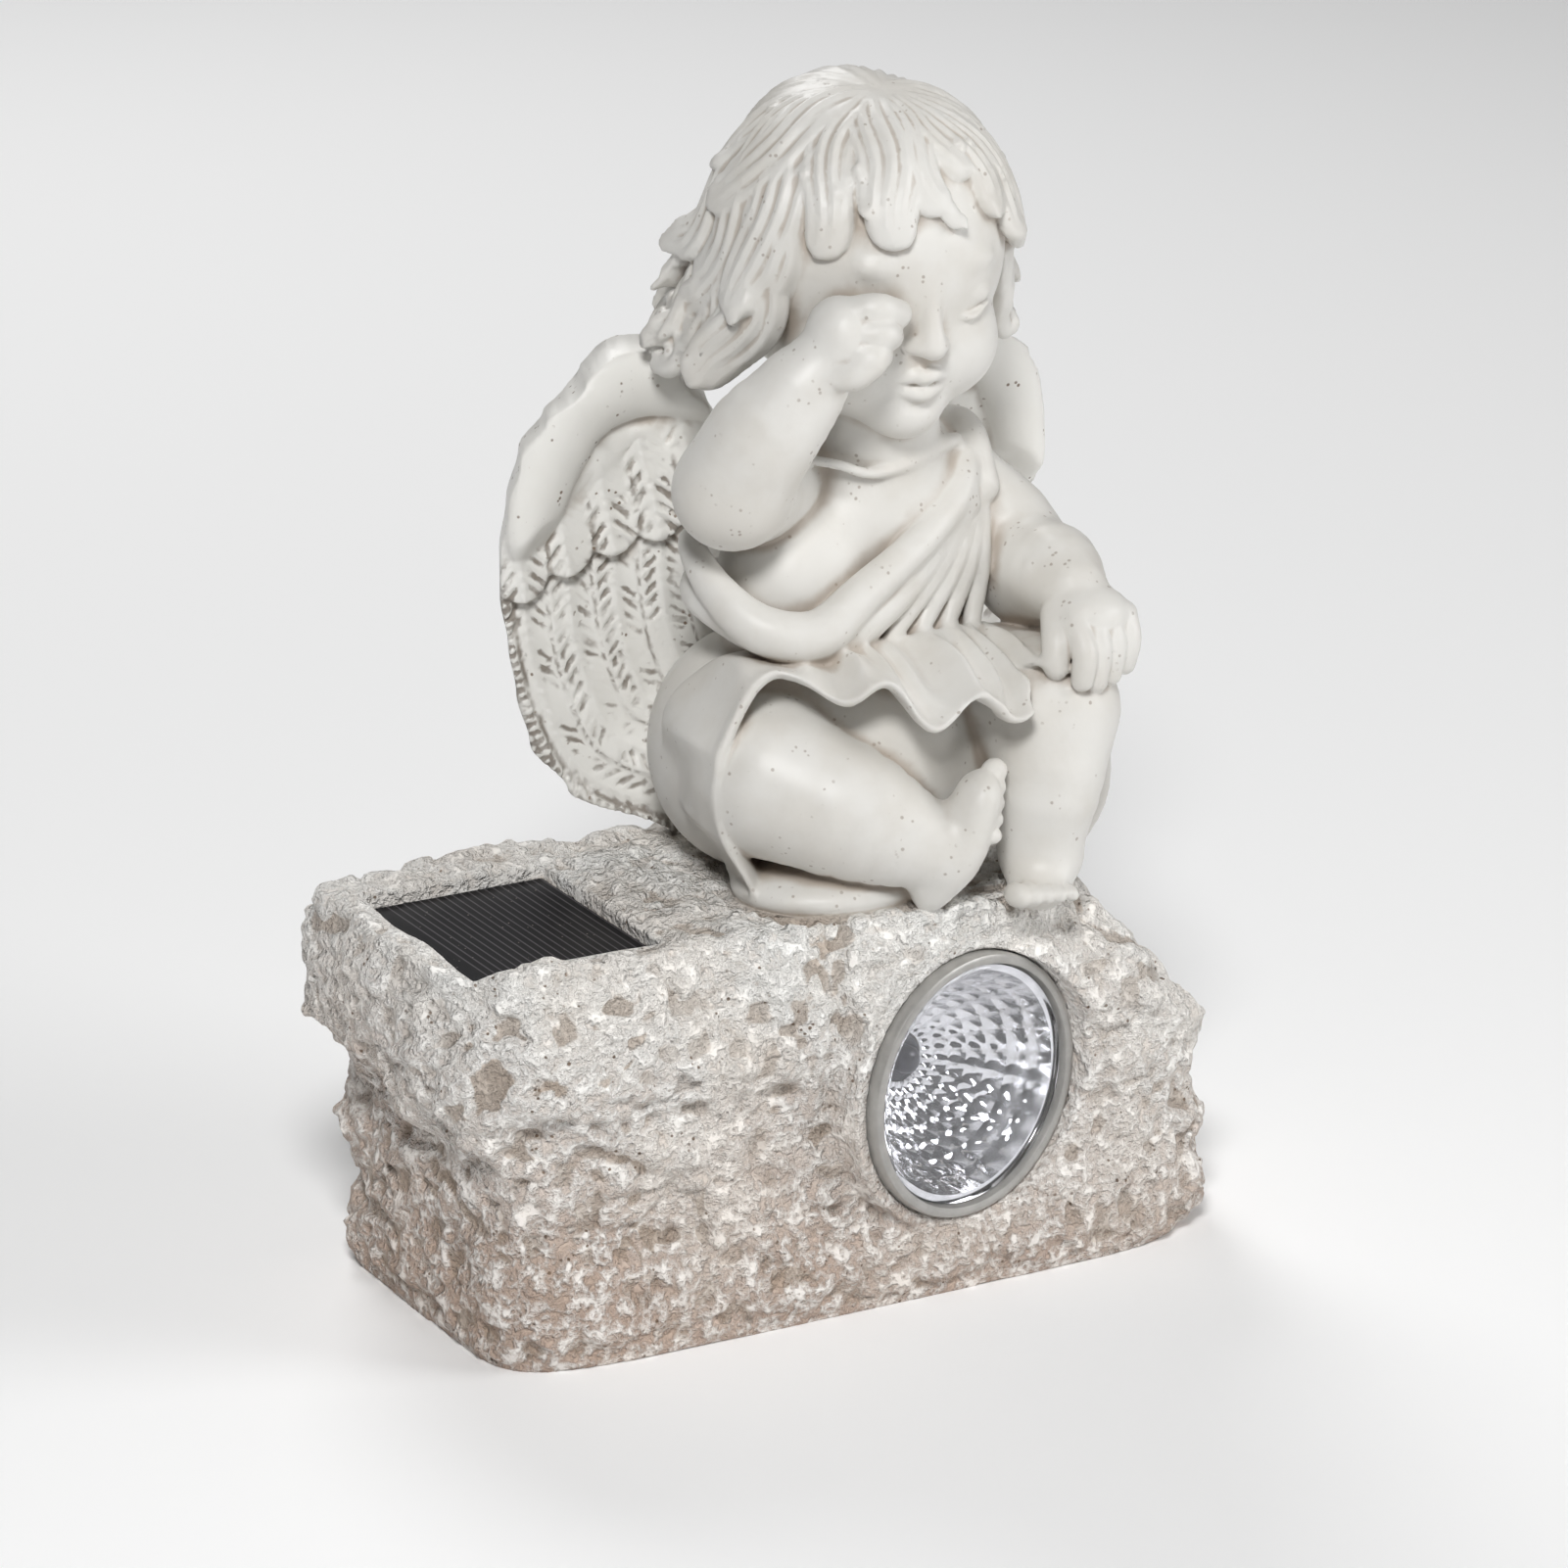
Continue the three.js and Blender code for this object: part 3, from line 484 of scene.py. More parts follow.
def hair(c):
    blob(c, on_head(SCALP), SCALP_RADII + 0.8, 0.8, HEAD_TURN)
    # The mass under the lower locks at the back.
    blob(c, on_head([0, 7, -9]), [23.5, 18, 18], 3, HEAD_TURN)
    for count, first, last, start, reach, width, flip in TIERS:
        for i in range(count):
            heading = mix(first, last, i / (count - 1))
            tip = reach + 6 * math.sin(2.3 * i + count)
            out = flip + 2 * math.cos(3.1 * i) + (5 * bump(heading, 238, 26) if start > 30 else 0)
            wide, sweep = width * (1 + 0.2 * math.sin(5.3 * i)), -6 + 8 * math.sin(1.7 * i)
            lock(c, heading, tip, wide, out, sweep, start)
    for row in CURLS:
        curl(c, *row)
    # Thin strands over the crown.
    for i in range(24):
        reach, sweep, start = 60 + 14 * math.sin(2.9 * i), 8 * math.sin(1.3 * i), 10 + 8 * math.sin(4.1 * i)
        lock(c, -66 + 14.3 * i, reach, 2.4, 3.5, sweep, start, 0)
    for row in FRINGE:
        lock(c, *row)


# Clothing

def tunic(c):
    blob(c, [18, -2, 44], [24, 19.5, 23], 4)
    # The roll that dips from the right armpit and rises to the left shoulder.
    limb(c, [
        [2, 15, 62, 2], [-12, 9, 66, 2.4], [-19, -2, 67, 2.8], [-19.5, -13, 61.5, 3.8],
        [-14.5, -21.5, 55.5, 4.8], [-4, -25, 54, 4.8], [7, -24, 60.5, 4],
        [23, -20, 68.5, 3.4], [35, -13, 75.5, 3.4], [40, -3, 82, 4],
    ], 2)
    limb(c, [
        [4, 16, 54, 2], [-10, 11, 58, 2.4], [-20, -8, 58, 3],
        [-6, -22, 50, 3.6], [12, -22.5, 56, 3.4], [36, -14, 72, 2.6],
    ], 1.6)
    # Folds fan out from the strap to the waist.
    for i in range(6):
        first = np.array([[36, -12.5, 76, 2.2], [21, -20.5, 65, 2.4], [1, -24, 51, 1.8]])
        last = np.array([[41, -9, 74, 2.2], [38, -15, 60, 2.4], [34, -19, 48, 1.8]])
        limb(c, mix(first, last, i / 5), 1)
    limb(c, [[41, -10, 74, 4], [41, -2, 83, 4.5], [37, 8, 80, 5]], 1.2)
    # Plainer folds run down the back from the same shoulder.
    for i in range(5):
        top, middle = [37 - i, 9 + i, 80 - i, 2.6], [31 - 5 * i, 15.5, 66 - i, 2.6]
        limb(c, [top, middle, [34 - 9 * i, 17, 46 - i, 2]], 1.2)
    # The edge of the neckline.
    limb(c, [[-3, -10.5, 86, 1], [5.4, -15, 84.4, 1], [12, -17.6, 82.2, 1], [19.5, -17.8, 83, 1],
             [27, -15, 84.6, 1.2], [36, -9, 83.6, 1.4]], 2)


SKIRT_INSIDE = np.array([12.0, -10, 14])
WAIST = [[-13, -6, 2], [-23, -3, 18], [-26, -2, 36], [-17, -9, 47], [-4, -17, 50], [5, -20, 50.5],
         [13, -22, 50], [21, -22, 50], [28, -21, 50], [34, -19, 49], [42, -12, 46], [47, -2, 40]]
HEM = [[-18, -27, 1], [-26.5, -26, 20], [-25, -27, 36], [-16, -30, 49.5], [-5, -38, 43.5], [3, -42, 47.5],
       [10, -47, 38], [20, -48, 44], [26, -50.5, 38.5], [31.5, -50.5, 40.3], [36, -46, 47.5], [56, -24, 42]]


def skirt_clay():
    p, faces = box_faces(300, 8, 90)
    n = 3001
    waist, hem = curve(WAIST, n), curve(HEM, n)
    along, down, depth = (p[:, 0] + 1) / 2, (p[:, 2] + 1) / 2, (1 - p[:, 1]) / 2
    i = np.round(along * (n - 1)).astype(int)
    point = mix(waist[i], hem[i], down[:, None])
    inward = SKIRT_INSIDE - point
    inward /= np.linalg.norm(inward, axis=1, keepdims=True)
    pleat = 1 - 2 * np.abs(np.sin(along * 40 + 1.5 * noise(along * 7, down * 2, 1)))
    fold = np.sin(math.pi * down) * (1.6 + (1.5 + 0.9 * smoothstep(along, 0.5, 0.75)) * pleat)
    # The lip of the hem is rolled a little outward.
    lip = 1.1 * smoothstep(down, 0.86, 1)
    thick = 3.2 + 4 * (1 - down)
    middle = depth - 0.5
    round_end = np.sqrt(np.clip(1 - ((down - 0.96) / 0.04).clip(0, 1) ** 2, 0, 1))
    point = point + inward * ((0.5 + middle * mix(1, round_end, 0.8)) * thick - fold - lip)[:, None]
    made = net_clay(point, faces, band=7)
    made.d = soften(made.d, 1)
    return made


def falls(c):
    blob(c, [-3, -1, 24], [23, 23, 25], 3)
    blob(c, [14, -17, 24], [26, 17, 20], 4)
    fall = [[52, -34, 42, 5], [55, -24, 28, 7], [54, -26, 13, 7], [44, -30, 3, 6]]
    limb(c, fall, 1.5, flat=0.5, facing=[0.5, 0.8, 0])
    blob(c, [2, -22, 2], [22, 17, 6], 2)


# Wings: u runs outward from the spine, v up, and w is how far the front stands out.
WING_OUTER = [26, 47, 54.5, 57, 58.5, 60, 60, 58.5, 56, 51, 43]
WING_INNER = [22, 14, 8, 4, 0, 0, 0, 12, 15, 18, 24]
WING_CREST = 101.0
WING_ROOT, WING_GAP = (18, 15), 4
WING_SWEEP = math.radians(23)
WING_THICKNESS = 4.5
FEATHER_WIDTH = 9.4
# The outer rim from the crest down to the foot, and the smooth roll inside it with its radius, as (u, v).
RIM = curve([
    [50, 92], [58.5, 76], [60.3, 60], [59.5, 44], [56.5, 29], [50, 14], [41, 6], [26, 0.5], [10, -4],
], 60)
ROLL = curve([[16, 90, 5], [33, 94.5, 8], [44, 91, 8.5], [50.5, 80, 7.5], [53.5, 68, 6], [54, 58, 4]], 40)
# Covering feathers: where each starts, where its tip is, and half its width.
COVERTS = [
    ((24 + 8.5 * i, 87 - 2.2 * i - 0.3 * i * i), (18 + 9.3 * i, 62.5 - 1.5 * i - 0.4 * i * i), 5.6)
    for i in range(5)
] + [((46 + 2.6 * i, 98 - 9 * i), (56.5 + 1.6 * i, 88 - 9 * i), 4.6) for i in range(3)]


def beside(u, v, line):
    """Distance from a line, the way run along it, and the line's other columns at the nearest place."""
    best = np.full(u.shape, 1e9)
    arc, extra = np.zeros(u.shape), np.zeros(u.shape)
    run = 0.0
    for a, b in zip(line[:-1], line[1:]):
        step = b - a
        long = math.hypot(step[0], step[1])
        t = np.clip(((u - a[0]) * step[0] + (v - a[1]) * step[1]) / long**2, 0, 1)
        d = np.hypot(u - a[0] - t * step[0], v - a[1] - t * step[1])
        near = d < best
        best, arc = np.where(near, d, best), np.where(near, run + t * long, arc)
        if len(a) > 2:
            extra = np.where(near, a[2] + t * step[2], extra)
        run += long
    return best, arc, extra


def barbs(along, across, half, seed):
    """Barbs that slope from the shaft toward the tip, with deep slits here and there: height and slits."""
    q = np.abs(across)
    lines = np.sin(2 * math.pi * (along - q) / 2.4)
    open_here = smoothstep(noise(along / 5 + seed, np.sign(across) * 3 + seed, seed), -0.35, 0.1)
    slots = smoothstep(np.sin(2 * math.pi * (along - 1.2 * q) / 3.6), -0.1, 0.6)
    band = smoothstep(q, 0.7, 1.6) * (1 - smoothstep(q, half - 1.6, half - 0.6))
    slit = open_here * slots * band
    return 0.55 * bump(q, 0, 0.6) + 0.25 * lines - 1.3 * slit, slit


def wing_relief(u, v):
    """Height of the carving over the wing's sheet, and the dirt and painted shade of its slits, seams and
    covert edges.
    """
    d, arc, _ = beside(u, v, RIM)
    k = d / FEATHER_WIDTH
    across = (k - np.floor(k) - 0.5) * FEATHER_WIDTH
    carved, slit = barbs(arc, across, FEATHER_WIDTH / 2, np.floor(k) * 7.7)
    seam = smoothstep(np.abs(across), FEATHER_WIDTH / 2 - 0.7, FEATHER_WIDTH / 2)
    height = 0.6 - 0.16 * across + carved - 0.5 * seam
    # The slits and the seams between feathers get dirt and painted shade.
    stain_and_shade = np.maximum(slit, 0.7 * seam)
    comb = smoothstep(np.sin(2 * math.pi * arc / 1.9), -0.2, 0.5) * (1 - smoothstep(d, 1.6, 2.3))
    height = height + 1.2 * (1 - smoothstep(d, 1.9, 2.4)) - 0.7 * comb
    # The comb along the rim and the line just inside the raised rim get painted shade.
    stain_and_shade = np.maximum(stain_and_shade, np.maximum(comb, 0.8 * bump(d, 2.5, 0.5)))
    for i, (start, tip, half) in enumerate(COVERTS):
        run = np.subtract(tip, start)
        long = math.hypot(*run)
        along = ((u - start[0]) * run[0] + (v - start[1]) * run[1]) / long
        across = ((u - start[0]) * run[1] - (v - start[1]) * run[0]) / long
        round_tip = np.clip((along - long + half) / half, 0, 1)
        edge = half * np.sqrt(1 - round_tip**2) - np.abs(across)
        carved, slit = barbs(along, across, half, 3.1 * i)
        top = 2.9 + 0.9 * (1 - (across / half) ** 2) + carved
        here = (along > 0) & (along < long) & (edge > 0)
        over = here & (top > height)
        height = np.where(over, top, height)
        # A covert's slits and edge get dirt and painted shade, and a painted shadow falls just past its edge
        # and tip onto the feathers below.
        stain_and_shade = np.where(over, np.maximum(slit, 0.8 * (1 - smoothstep(edge, 0, 0.7))), stain_and_shade)
        under = 1 - smoothstep(np.hypot(np.minimum(edge, 0), np.maximum(along - long, 0)), 0.2, 1.4)
        stain_and_shade = np.maximum(stain_and_shade, np.where(here | (along < 0), 0, 0.8 * under))
    # The smooth shoulder over the coverts, with the roll along its outer side.
    line = through([83, 82, 79, 73, 65, 59], (u - 14) / 44)
    shoulder = 4.4 * smoothstep(v - line, -5, 5)
    away, _, radius = beside(u, v, ROLL)
    roll = 4.2 * np.sqrt(np.clip(1 - (away / np.maximum(radius, 1)) ** 2, 0, 1))
    smooth = shoulder + roll * smoothstep(v - line, -8, 4) - 1.5 * bump(np.hypot(u - 27, v - 88), 0, 8)
    share = 1 - smoothstep(v - line, -6, 3)
    height = -smooth_min(-height, -smooth, 1.2)
    return height, stain_and_shade * share


def wing_sheet(u, v):
    """The sheet under the carving, cupped so that its outer rim curls forward."""
    d, _, _ = beside(u, v, RIM)
    return 5.5 * (1 - smoothstep(d, 0, 26)) - 2.5


def wing_back(u, v):
    """How far the back lies behind the sheet: long feathers, two rows of short ones and a round edge."""
    d, _, _ = beside(u, v, RIM)
    k = d / FEATHER_WIDTH
    across = 2 * (k - np.floor(k)) - 1
    feathers = 1.3 * (1 - across**2)
    for i, row in enumerate((56, 76)):
        scallop = row + 4 * np.abs(np.sin(math.pi * (u / 11 + 0.5 * i)))
        feathers = feathers + 1.1 * smoothstep(v - scallop, -0.8, 0.8)
    return WING_THICKNESS * mix(0.35, 1, smoothstep(d, 0, 9)) + feathers * smoothstep(d, 1, 5)


def wing_clay(side):
    n = 1
    p, faces = box_faces(220 // n, 10 // n, 340 // n)
    s, share, front = (p[:, 0] + 1) / 2, (p[:, 2] + 1) / 2, (p[:, 1] + 1) / 2
    u = mix(through(WING_INNER, share), through(WING_OUTER, share), s)
    v = WING_CREST * share - 5 * smoothstep(share, 0.8, 1) * (2 * s - 1) ** 2
    w = wing_sheet(u, v) + mix(-wing_back(u, v), wing_relief(u, v)[0], front)
    c, t = math.cos(WING_SWEEP), math.sin(WING_SWEEP)
    x = WING_ROOT[0] + side * WING_GAP + side * (u * c + w * t)
    points = np.stack([x, WING_ROOT[1] + u * t - w * c, v], 1)
    return net_clay(points, faces, band=6)


def wing_slit_dirt_and_shade(p):
    """How dark the dirt and painted shade in the wings' slits, seams and covert edges are at points on the
    skin.
    """
    total = np.zeros(len(p))
    c, t = math.cos(WING_SWEEP), math.sin(WING_SWEEP)
    for side in (-1, 1):
        x, y = side * (p[:, 0] - WING_ROOT[0] - side * WING_GAP), p[:, 1] - WING_ROOT[1]
        u, w, v = x * c + y * t, x * t - y * c, p[:, 2] - ROCK_HEIGHT
        here = (u > 8) & (w > wing_sheet(u, v) - 2.5) & (w < wing_sheet(u, v) + 10)
        total = np.where(here, wing_relief(u, v)[1], total)
    return total


# Cut-outs for the lamp and the cell

LAMP_TURN = math.radians(13.8)
LAMP_AXIS = np.array([math.sin(LAMP_TURN), -math.cos(LAMP_TURN), 0])
LAMP_FACE = np.array([19.0, -45.5, 43.0])
RIM_RADIUS, CUP_RADIUS, CUP_DEPTH, CUP_WALL = 27.2, 26.0, 24.0, 1.2
RIM_OUT, RIM_THICK, LENS_THICK, BOWL_DEPTH, BOWL_WALL = 2.2, 3.4, 2.0, 17.0, 1.2
DIODE_RADIUS, DIODE_HEIGHT, CLEARANCE = 4.6, 3.0, 0.3
CELL_HALF, CELL_THICK, CELL_SUNK = np.array([20.0, 25.0]), 3.0, 2.5


def disc(clay, radius, back, front, blend, cut):
    """A round plug about the lamp's axis, from back to front along it."""
    def distance(x, y, z):
        q = [x - LAMP_FACE[0], y - LAMP_FACE[1], z - LAMP_FACE[2]]
        along = q[0] * LAMP_AXIS[0] + q[1] * LAMP_AXIS[1]
        radial = np.sqrt(np.maximum(q[0] ** 2 + q[1] ** 2 + q[2] ** 2 - along**2, 0)) - radius
        ends = np.abs(along - (back + front) / 2) - (front - back) / 2
        return np.maximum(radial, ends)

    reach = radius + max(abs(back), abs(front)) + 3
    clay.press(LAMP_FACE - reach, LAMP_FACE + reach, distance, blend, cut)


def beyond_cell(x, y):
    """How far a place lies outside the solar cell's recess, level with it."""
    half = CELL_HALF + CLEARANCE
    return np.maximum(np.abs(x - CELL_MIDDLE[0]) - half[0], np.abs(y - CELL_MIDDLE[1]) - half[1])


def cell_recess(clay):
    floor = ROCK_HEIGHT - CELL_SUNK - CELL_THICK - CLEARANCE

    def distance(x, y, z):
        return np.maximum(beyond_cell(x, y), floor - z)

    clay.press([-90, -40, floor - 3], [-36, 24, 96], distance, 0.4, True)


# Putting the sculpt together

def lift(part):
    """Moves a clay with heights from the rock's top up to its place."""
    up = np.array([0, 0, round(ROCK_HEIGHT / STEP)])
    part.start, part.end = part.start + up, part.end + up
    return part


def raised(build, low, high):
    """Runs a figure part in its own clay, and lifts it."""
    part = Clay(low, high)
    build(part)
    return lift(part)


def sculpt():
    figure = Clay([-62, -62, 68], [96, 50, 248])
    for build, lo, hi, blend in (
        (torso, [-20, -30, -12], [60, 35, 108], 1),
        (falls, [-32, -46, -12], [72, 28, 56], 2),
        (tunic, [-34, -38, 12], [56, 24, 96], 1.6),
        (right_arm, [-40, -50, 58], [24, 22, 132], 1.2),
        (left_arm, [26, -60, 30], [70, 18, 88], 1.2),
        (right_leg, [-36, -62, -10], [36, 28, 52], 0.8),
        (left_leg, [10, -64, -10], [66, 26, 58], 0.8),
    ):
        figure.join(raised(build, lo, hi), blend)
    head = raised(face, [-20, -48, 84], [56, 34, 158])
    head.join(raised(hair, [-32, -48, 80], [68, 48, 168]), 0.6)
    figure.join(head, 1)
    figure.join(lift(skirt_clay()), 1.2)
    wings = Clay([-62, 0, 68], [102, 62, 192])
    for side in (-1, 1):
        wings.join(lift(wing_clay(side)), 0.5)
    figure.join(wings, 1.5)
    return figure, wings, rock_clay()


def sample(clay, p, values=None):
    """Values of a clay at points, by blending the eight grid points round each."""
    values = clay.d if values is None else values
    q = np.clip(p / STEP - clay.start, 0, np.array(values.shape) - 1.001)
    i, f = np.floor(q).astype(int).T, (q - np.floor(q)).T
    return sum(share * values[i[0] + dx, i[1] + dy, i[2] + dz] for dx, dy, dz, share in corners(f))


def distance_to(clay, p):
    """Distances of points from a clay's skin, and the far value outside its grid."""
    q = p / STEP
    inside = ((q > clay.start) & (q < clay.end - 1)).all(1)
    return np.where(inside, sample(clay, p), clay.FAR)


def soften(values, reach):
    """Averages over neighbours, twice along each axis."""
    out = values.astype(np.float32)
    for axis in (0, 1, 2):
        for _ in range(2):
            pad = [(0, 0)] * 3
            pad[axis] = (reach + 1, reach)
            run = np.cumsum(np.pad(out, pad, mode="edge"), axis=axis, dtype=np.float64)
            upper = np.take(run, np.arange(2 * reach + 1, run.shape[axis]), axis=axis)
            lower = np.take(run, np.arange(0, run.shape[axis] - 2 * reach - 1), axis=axis)
            out = ((upper - lower) / (2 * reach + 1)).astype(np.float32)
    return out


def in_scene(name, data):
    obj = bpy.data.objects.new(name, data)
    bpy.context.scene.collection.objects.link(obj)
    return obj


def mesh_object(name, points, faces):
    mesh = bpy.data.meshes.new(name)
    mesh.from_pydata(np.asarray(points).tolist(), [], np.asarray(faces).tolist())
    mesh.validate()
    mesh.update()
    return in_scene(name, mesh)


def float_attribute(mesh, name, values):
    layer = mesh.attributes.new(name, "FLOAT", "POINT")
    layer.data.foreach_set("value", np.asarray(values, np.float32))


def cast(rock, figure):
    """The rock and figure joined in one clay, with seats cut for the lamp and the solar cell."""
    whole = Clay([-102, -64, -6], [94, 56, 244])
    whole.join(rock, 1)
    disc(whole, RIM_RADIUS + 3, -34, -0.4, 1.5, False)
    whole.join(figure, 1.2)
    disc(whole, RIM_RADIUS + CLEARANCE, RIM_OUT - RIM_THICK - CLEARANCE, 60, 0.4, True)
    disc(whole, CUP_RADIUS + CLEARANCE, -CUP_DEPTH - CLEARANCE, 60, 0.4, True)
    cell_recess(whole)
    return whole


def skin(whole):
    """The clay's surface as points, four-sided faces and the way out at each point."""
    grid = vdb.FloatGrid()
    grid.background = Clay.FAR
    grid.copyFromArray(whole.d, ijk=tuple(int(v) for v in whole.start), tolerance=0)
    points, quads = grid.convertToQuads(isovalue=0)
    points = points.astype(np.float64) * STEP
    steps = np.eye(3) * STEP
    out = np.stack([sample(whole, points + way) - sample(whole, points - way) for way in steps], 1)
    return points, quads, out / np.maximum(np.linalg.norm(out, axis=1, keepdims=True), 1e-6)


def thinned(obj, triangles):
    """Thins an object's mesh, and gives back its points in the sculpt's millimetres."""
    thin = obj.modifiers.new("thin", "DECIMATE")
    thin.ratio = min(1, triangles / (2 * len(obj.data.polygons)))
    bpy.context.view_layer.objects.active = obj
    with bpy.context.temp_override(object=obj, active_object=obj):
        bpy.ops.object.modifier_apply(modifier="thin")
    flat = np.empty(3 * len(obj.data.vertices), np.float32)
    obj.data.vertices.foreach_get("co", flat)
    return flat.reshape(-1, 3).astype(np.float64) * 1000 - SHIFT


def statue():
    figure, wings, rock = sculpt()
    whole = cast(rock, figure)
    points, quads, out = skin(whole)
    plain = np.maximum(near_cutouts(points), smoothstep(-points[:, 2], -3, -0.5))
    points = points + out * (crumbs(points) * rock_share(points, rock, figure) * (1 - plain))[:, None]
    points[:, 2] = np.maximum(points[:, 2], 0)
    obj = mesh_object("statue", (points + SHIFT) / 1000, quads)
    p = thinned(obj, TRIANGLES)
    mesh = obj.data
    # How deep each place lies below the skin around it, over a wide and a narrow reach.
    halved = whole.d[::2, ::2, ::2].clip(-4, 4)
    origin = Clay([0, 0, 0], [1, 1, 1])
    on_halved = (p / (2 * STEP) - whole.start / 2) * STEP
    for name, reach in (("recess", 2 if STEP < 0.7 else 1), ("groove", 1)):
        float_attribute(mesh, name, np.clip(-sample(origin, on_halved, soften(halved, reach)), -2, 2))
    float_attribute(mesh, "rock", rock_share(p, rock, figure))
    on_wing = 1 - smoothstep(distance_to(wings, p), 0.3, 1.2)
    float_attribute(mesh, "wing", on_wing)
    float_attribute(mesh, "slit", on_wing * wing_slit_dirt_and_shade(p))
    for polygon in mesh.polygons:
        polygon.use_smooth = True
    return obj


def rock_share(p, rock, figure):
    """1 on the rock and 0 on the figure, by which of the two is nearer."""
    to_rock, to_figure = distance_to(rock, p), distance_to(figure, p)
    return smoothstep(to_figure - to_rock, -0.6, 0.8)


def near_cutouts(p):
    """1 where the rock's skin stays smooth, beside the lamp and the solar cell."""
    q = p - LAMP_FACE
    along = q @ LAMP_AXIS
    radial = np.sqrt(np.maximum((q**2).sum(1) - along**2, 0))
    lamp = (1 - smoothstep(radial, RIM_RADIUS + 1.5, RIM_RADIUS + 5)) * smoothstep(along, -36, -30)
    cell = (1 - smoothstep(beyond_cell(p[:, 0], p[:, 1]), 0.6, 2.5)) * smoothstep(p[:, 2], 60, 70)
    return np.maximum(lamp, cell)


# Materials

class Nodes:
    """Short ways to build one material's node tree."""

    def __init__(self, name):
        self.material = bpy.data.materials.new(name)
        self.material.use_nodes = True
        self.tree = self.material.node_tree
        self.shader = self.tree.nodes["Principled BSDF"]

    def node(self, kind, inputs=None, **settings):
        made = self.tree.nodes.new(kind)
        for key, value in settings.items():
            setattr(made, key, value)
        for key, value in (inputs or {}).items():
            self.put(made.inputs[key], value)
        return made

    def put(self, socket, value):
        if isinstance(value, bpy.types.NodeSocket):
            self.tree.links.new(value, socket)
        elif isinstance(value, bpy.types.Node):
            self.tree.links.new(value.outputs[0], socket)
        else:
            socket.default_value = value

    def maths(self, operation, a, b=0.0):
        return self.node("ShaderNodeMath", {0: a, 1: b}, operation=operation).outputs[0]

    def times(self, a, b):
        return self.maths("MULTIPLY", a, b)

    def plus(self, a, b):
        return self.maths("ADD", a, b)

    def minus(self, a, b):
        return self.maths("SUBTRACT", a, b)

    def most(self, a, b):
        return self.maths("MAXIMUM", a, b)

    def noise(self, where, scale, detail=3.0, rough=0.55, offset=None):
        if offset is not None:
            where = self.node("ShaderNodeVectorMath", {0: where, 1: offset}, operation="ADD").outputs[0]
        inputs = {"Vector": where, "Scale": scale, "Detail": detail, "Roughness": rough}
        return self.node("ShaderNodeTexNoise", inputs).outputs["Fac"]

    def band(self, value, low, high):
        """0 below low and 1 above high, with a soft step between."""
        inputs = {"Value": value, "From Min": low, "From Max": high}
        return self.node("ShaderNodeMapRange", inputs, interpolation_type="SMOOTHSTEP").outputs["Result"]

    def fade(self, value, low, high):
        """1 below low and 0 above high."""
        return self.minus(1.0, self.band(value, low, high))

    def blend(self, share, a, b):
        made = self.node("ShaderNodeMix", {}, data_type="RGBA")
        self.put(made.inputs["Factor"], share)
        self.put(made.inputs[6], a)
        self.put(made.inputs[7], b)
        return made.outputs[2]

    def attribute(self, name):
        return self.node("ShaderNodeAttribute", attribute_name=name).outputs["Fac"]

    def bumped(self, height, distance, strength=1.0, after=None):
        inputs = {"Height": height, "Distance": distance, "Strength": strength}
        if after is not None:
            inputs["Normal"] = after
        return self.node("ShaderNodeBump", inputs).outputs["Normal"]

    def where(self):
        return self.node("ShaderNodeTexCoord").outputs["Object"]

    def set(self, **values):
        for key, value in values.items():
            self.put(self.shader.inputs[key.replace("_", " ")], value)
        return self.material


def rgb(r, g, b):
    return (r, g, b, 1.0)


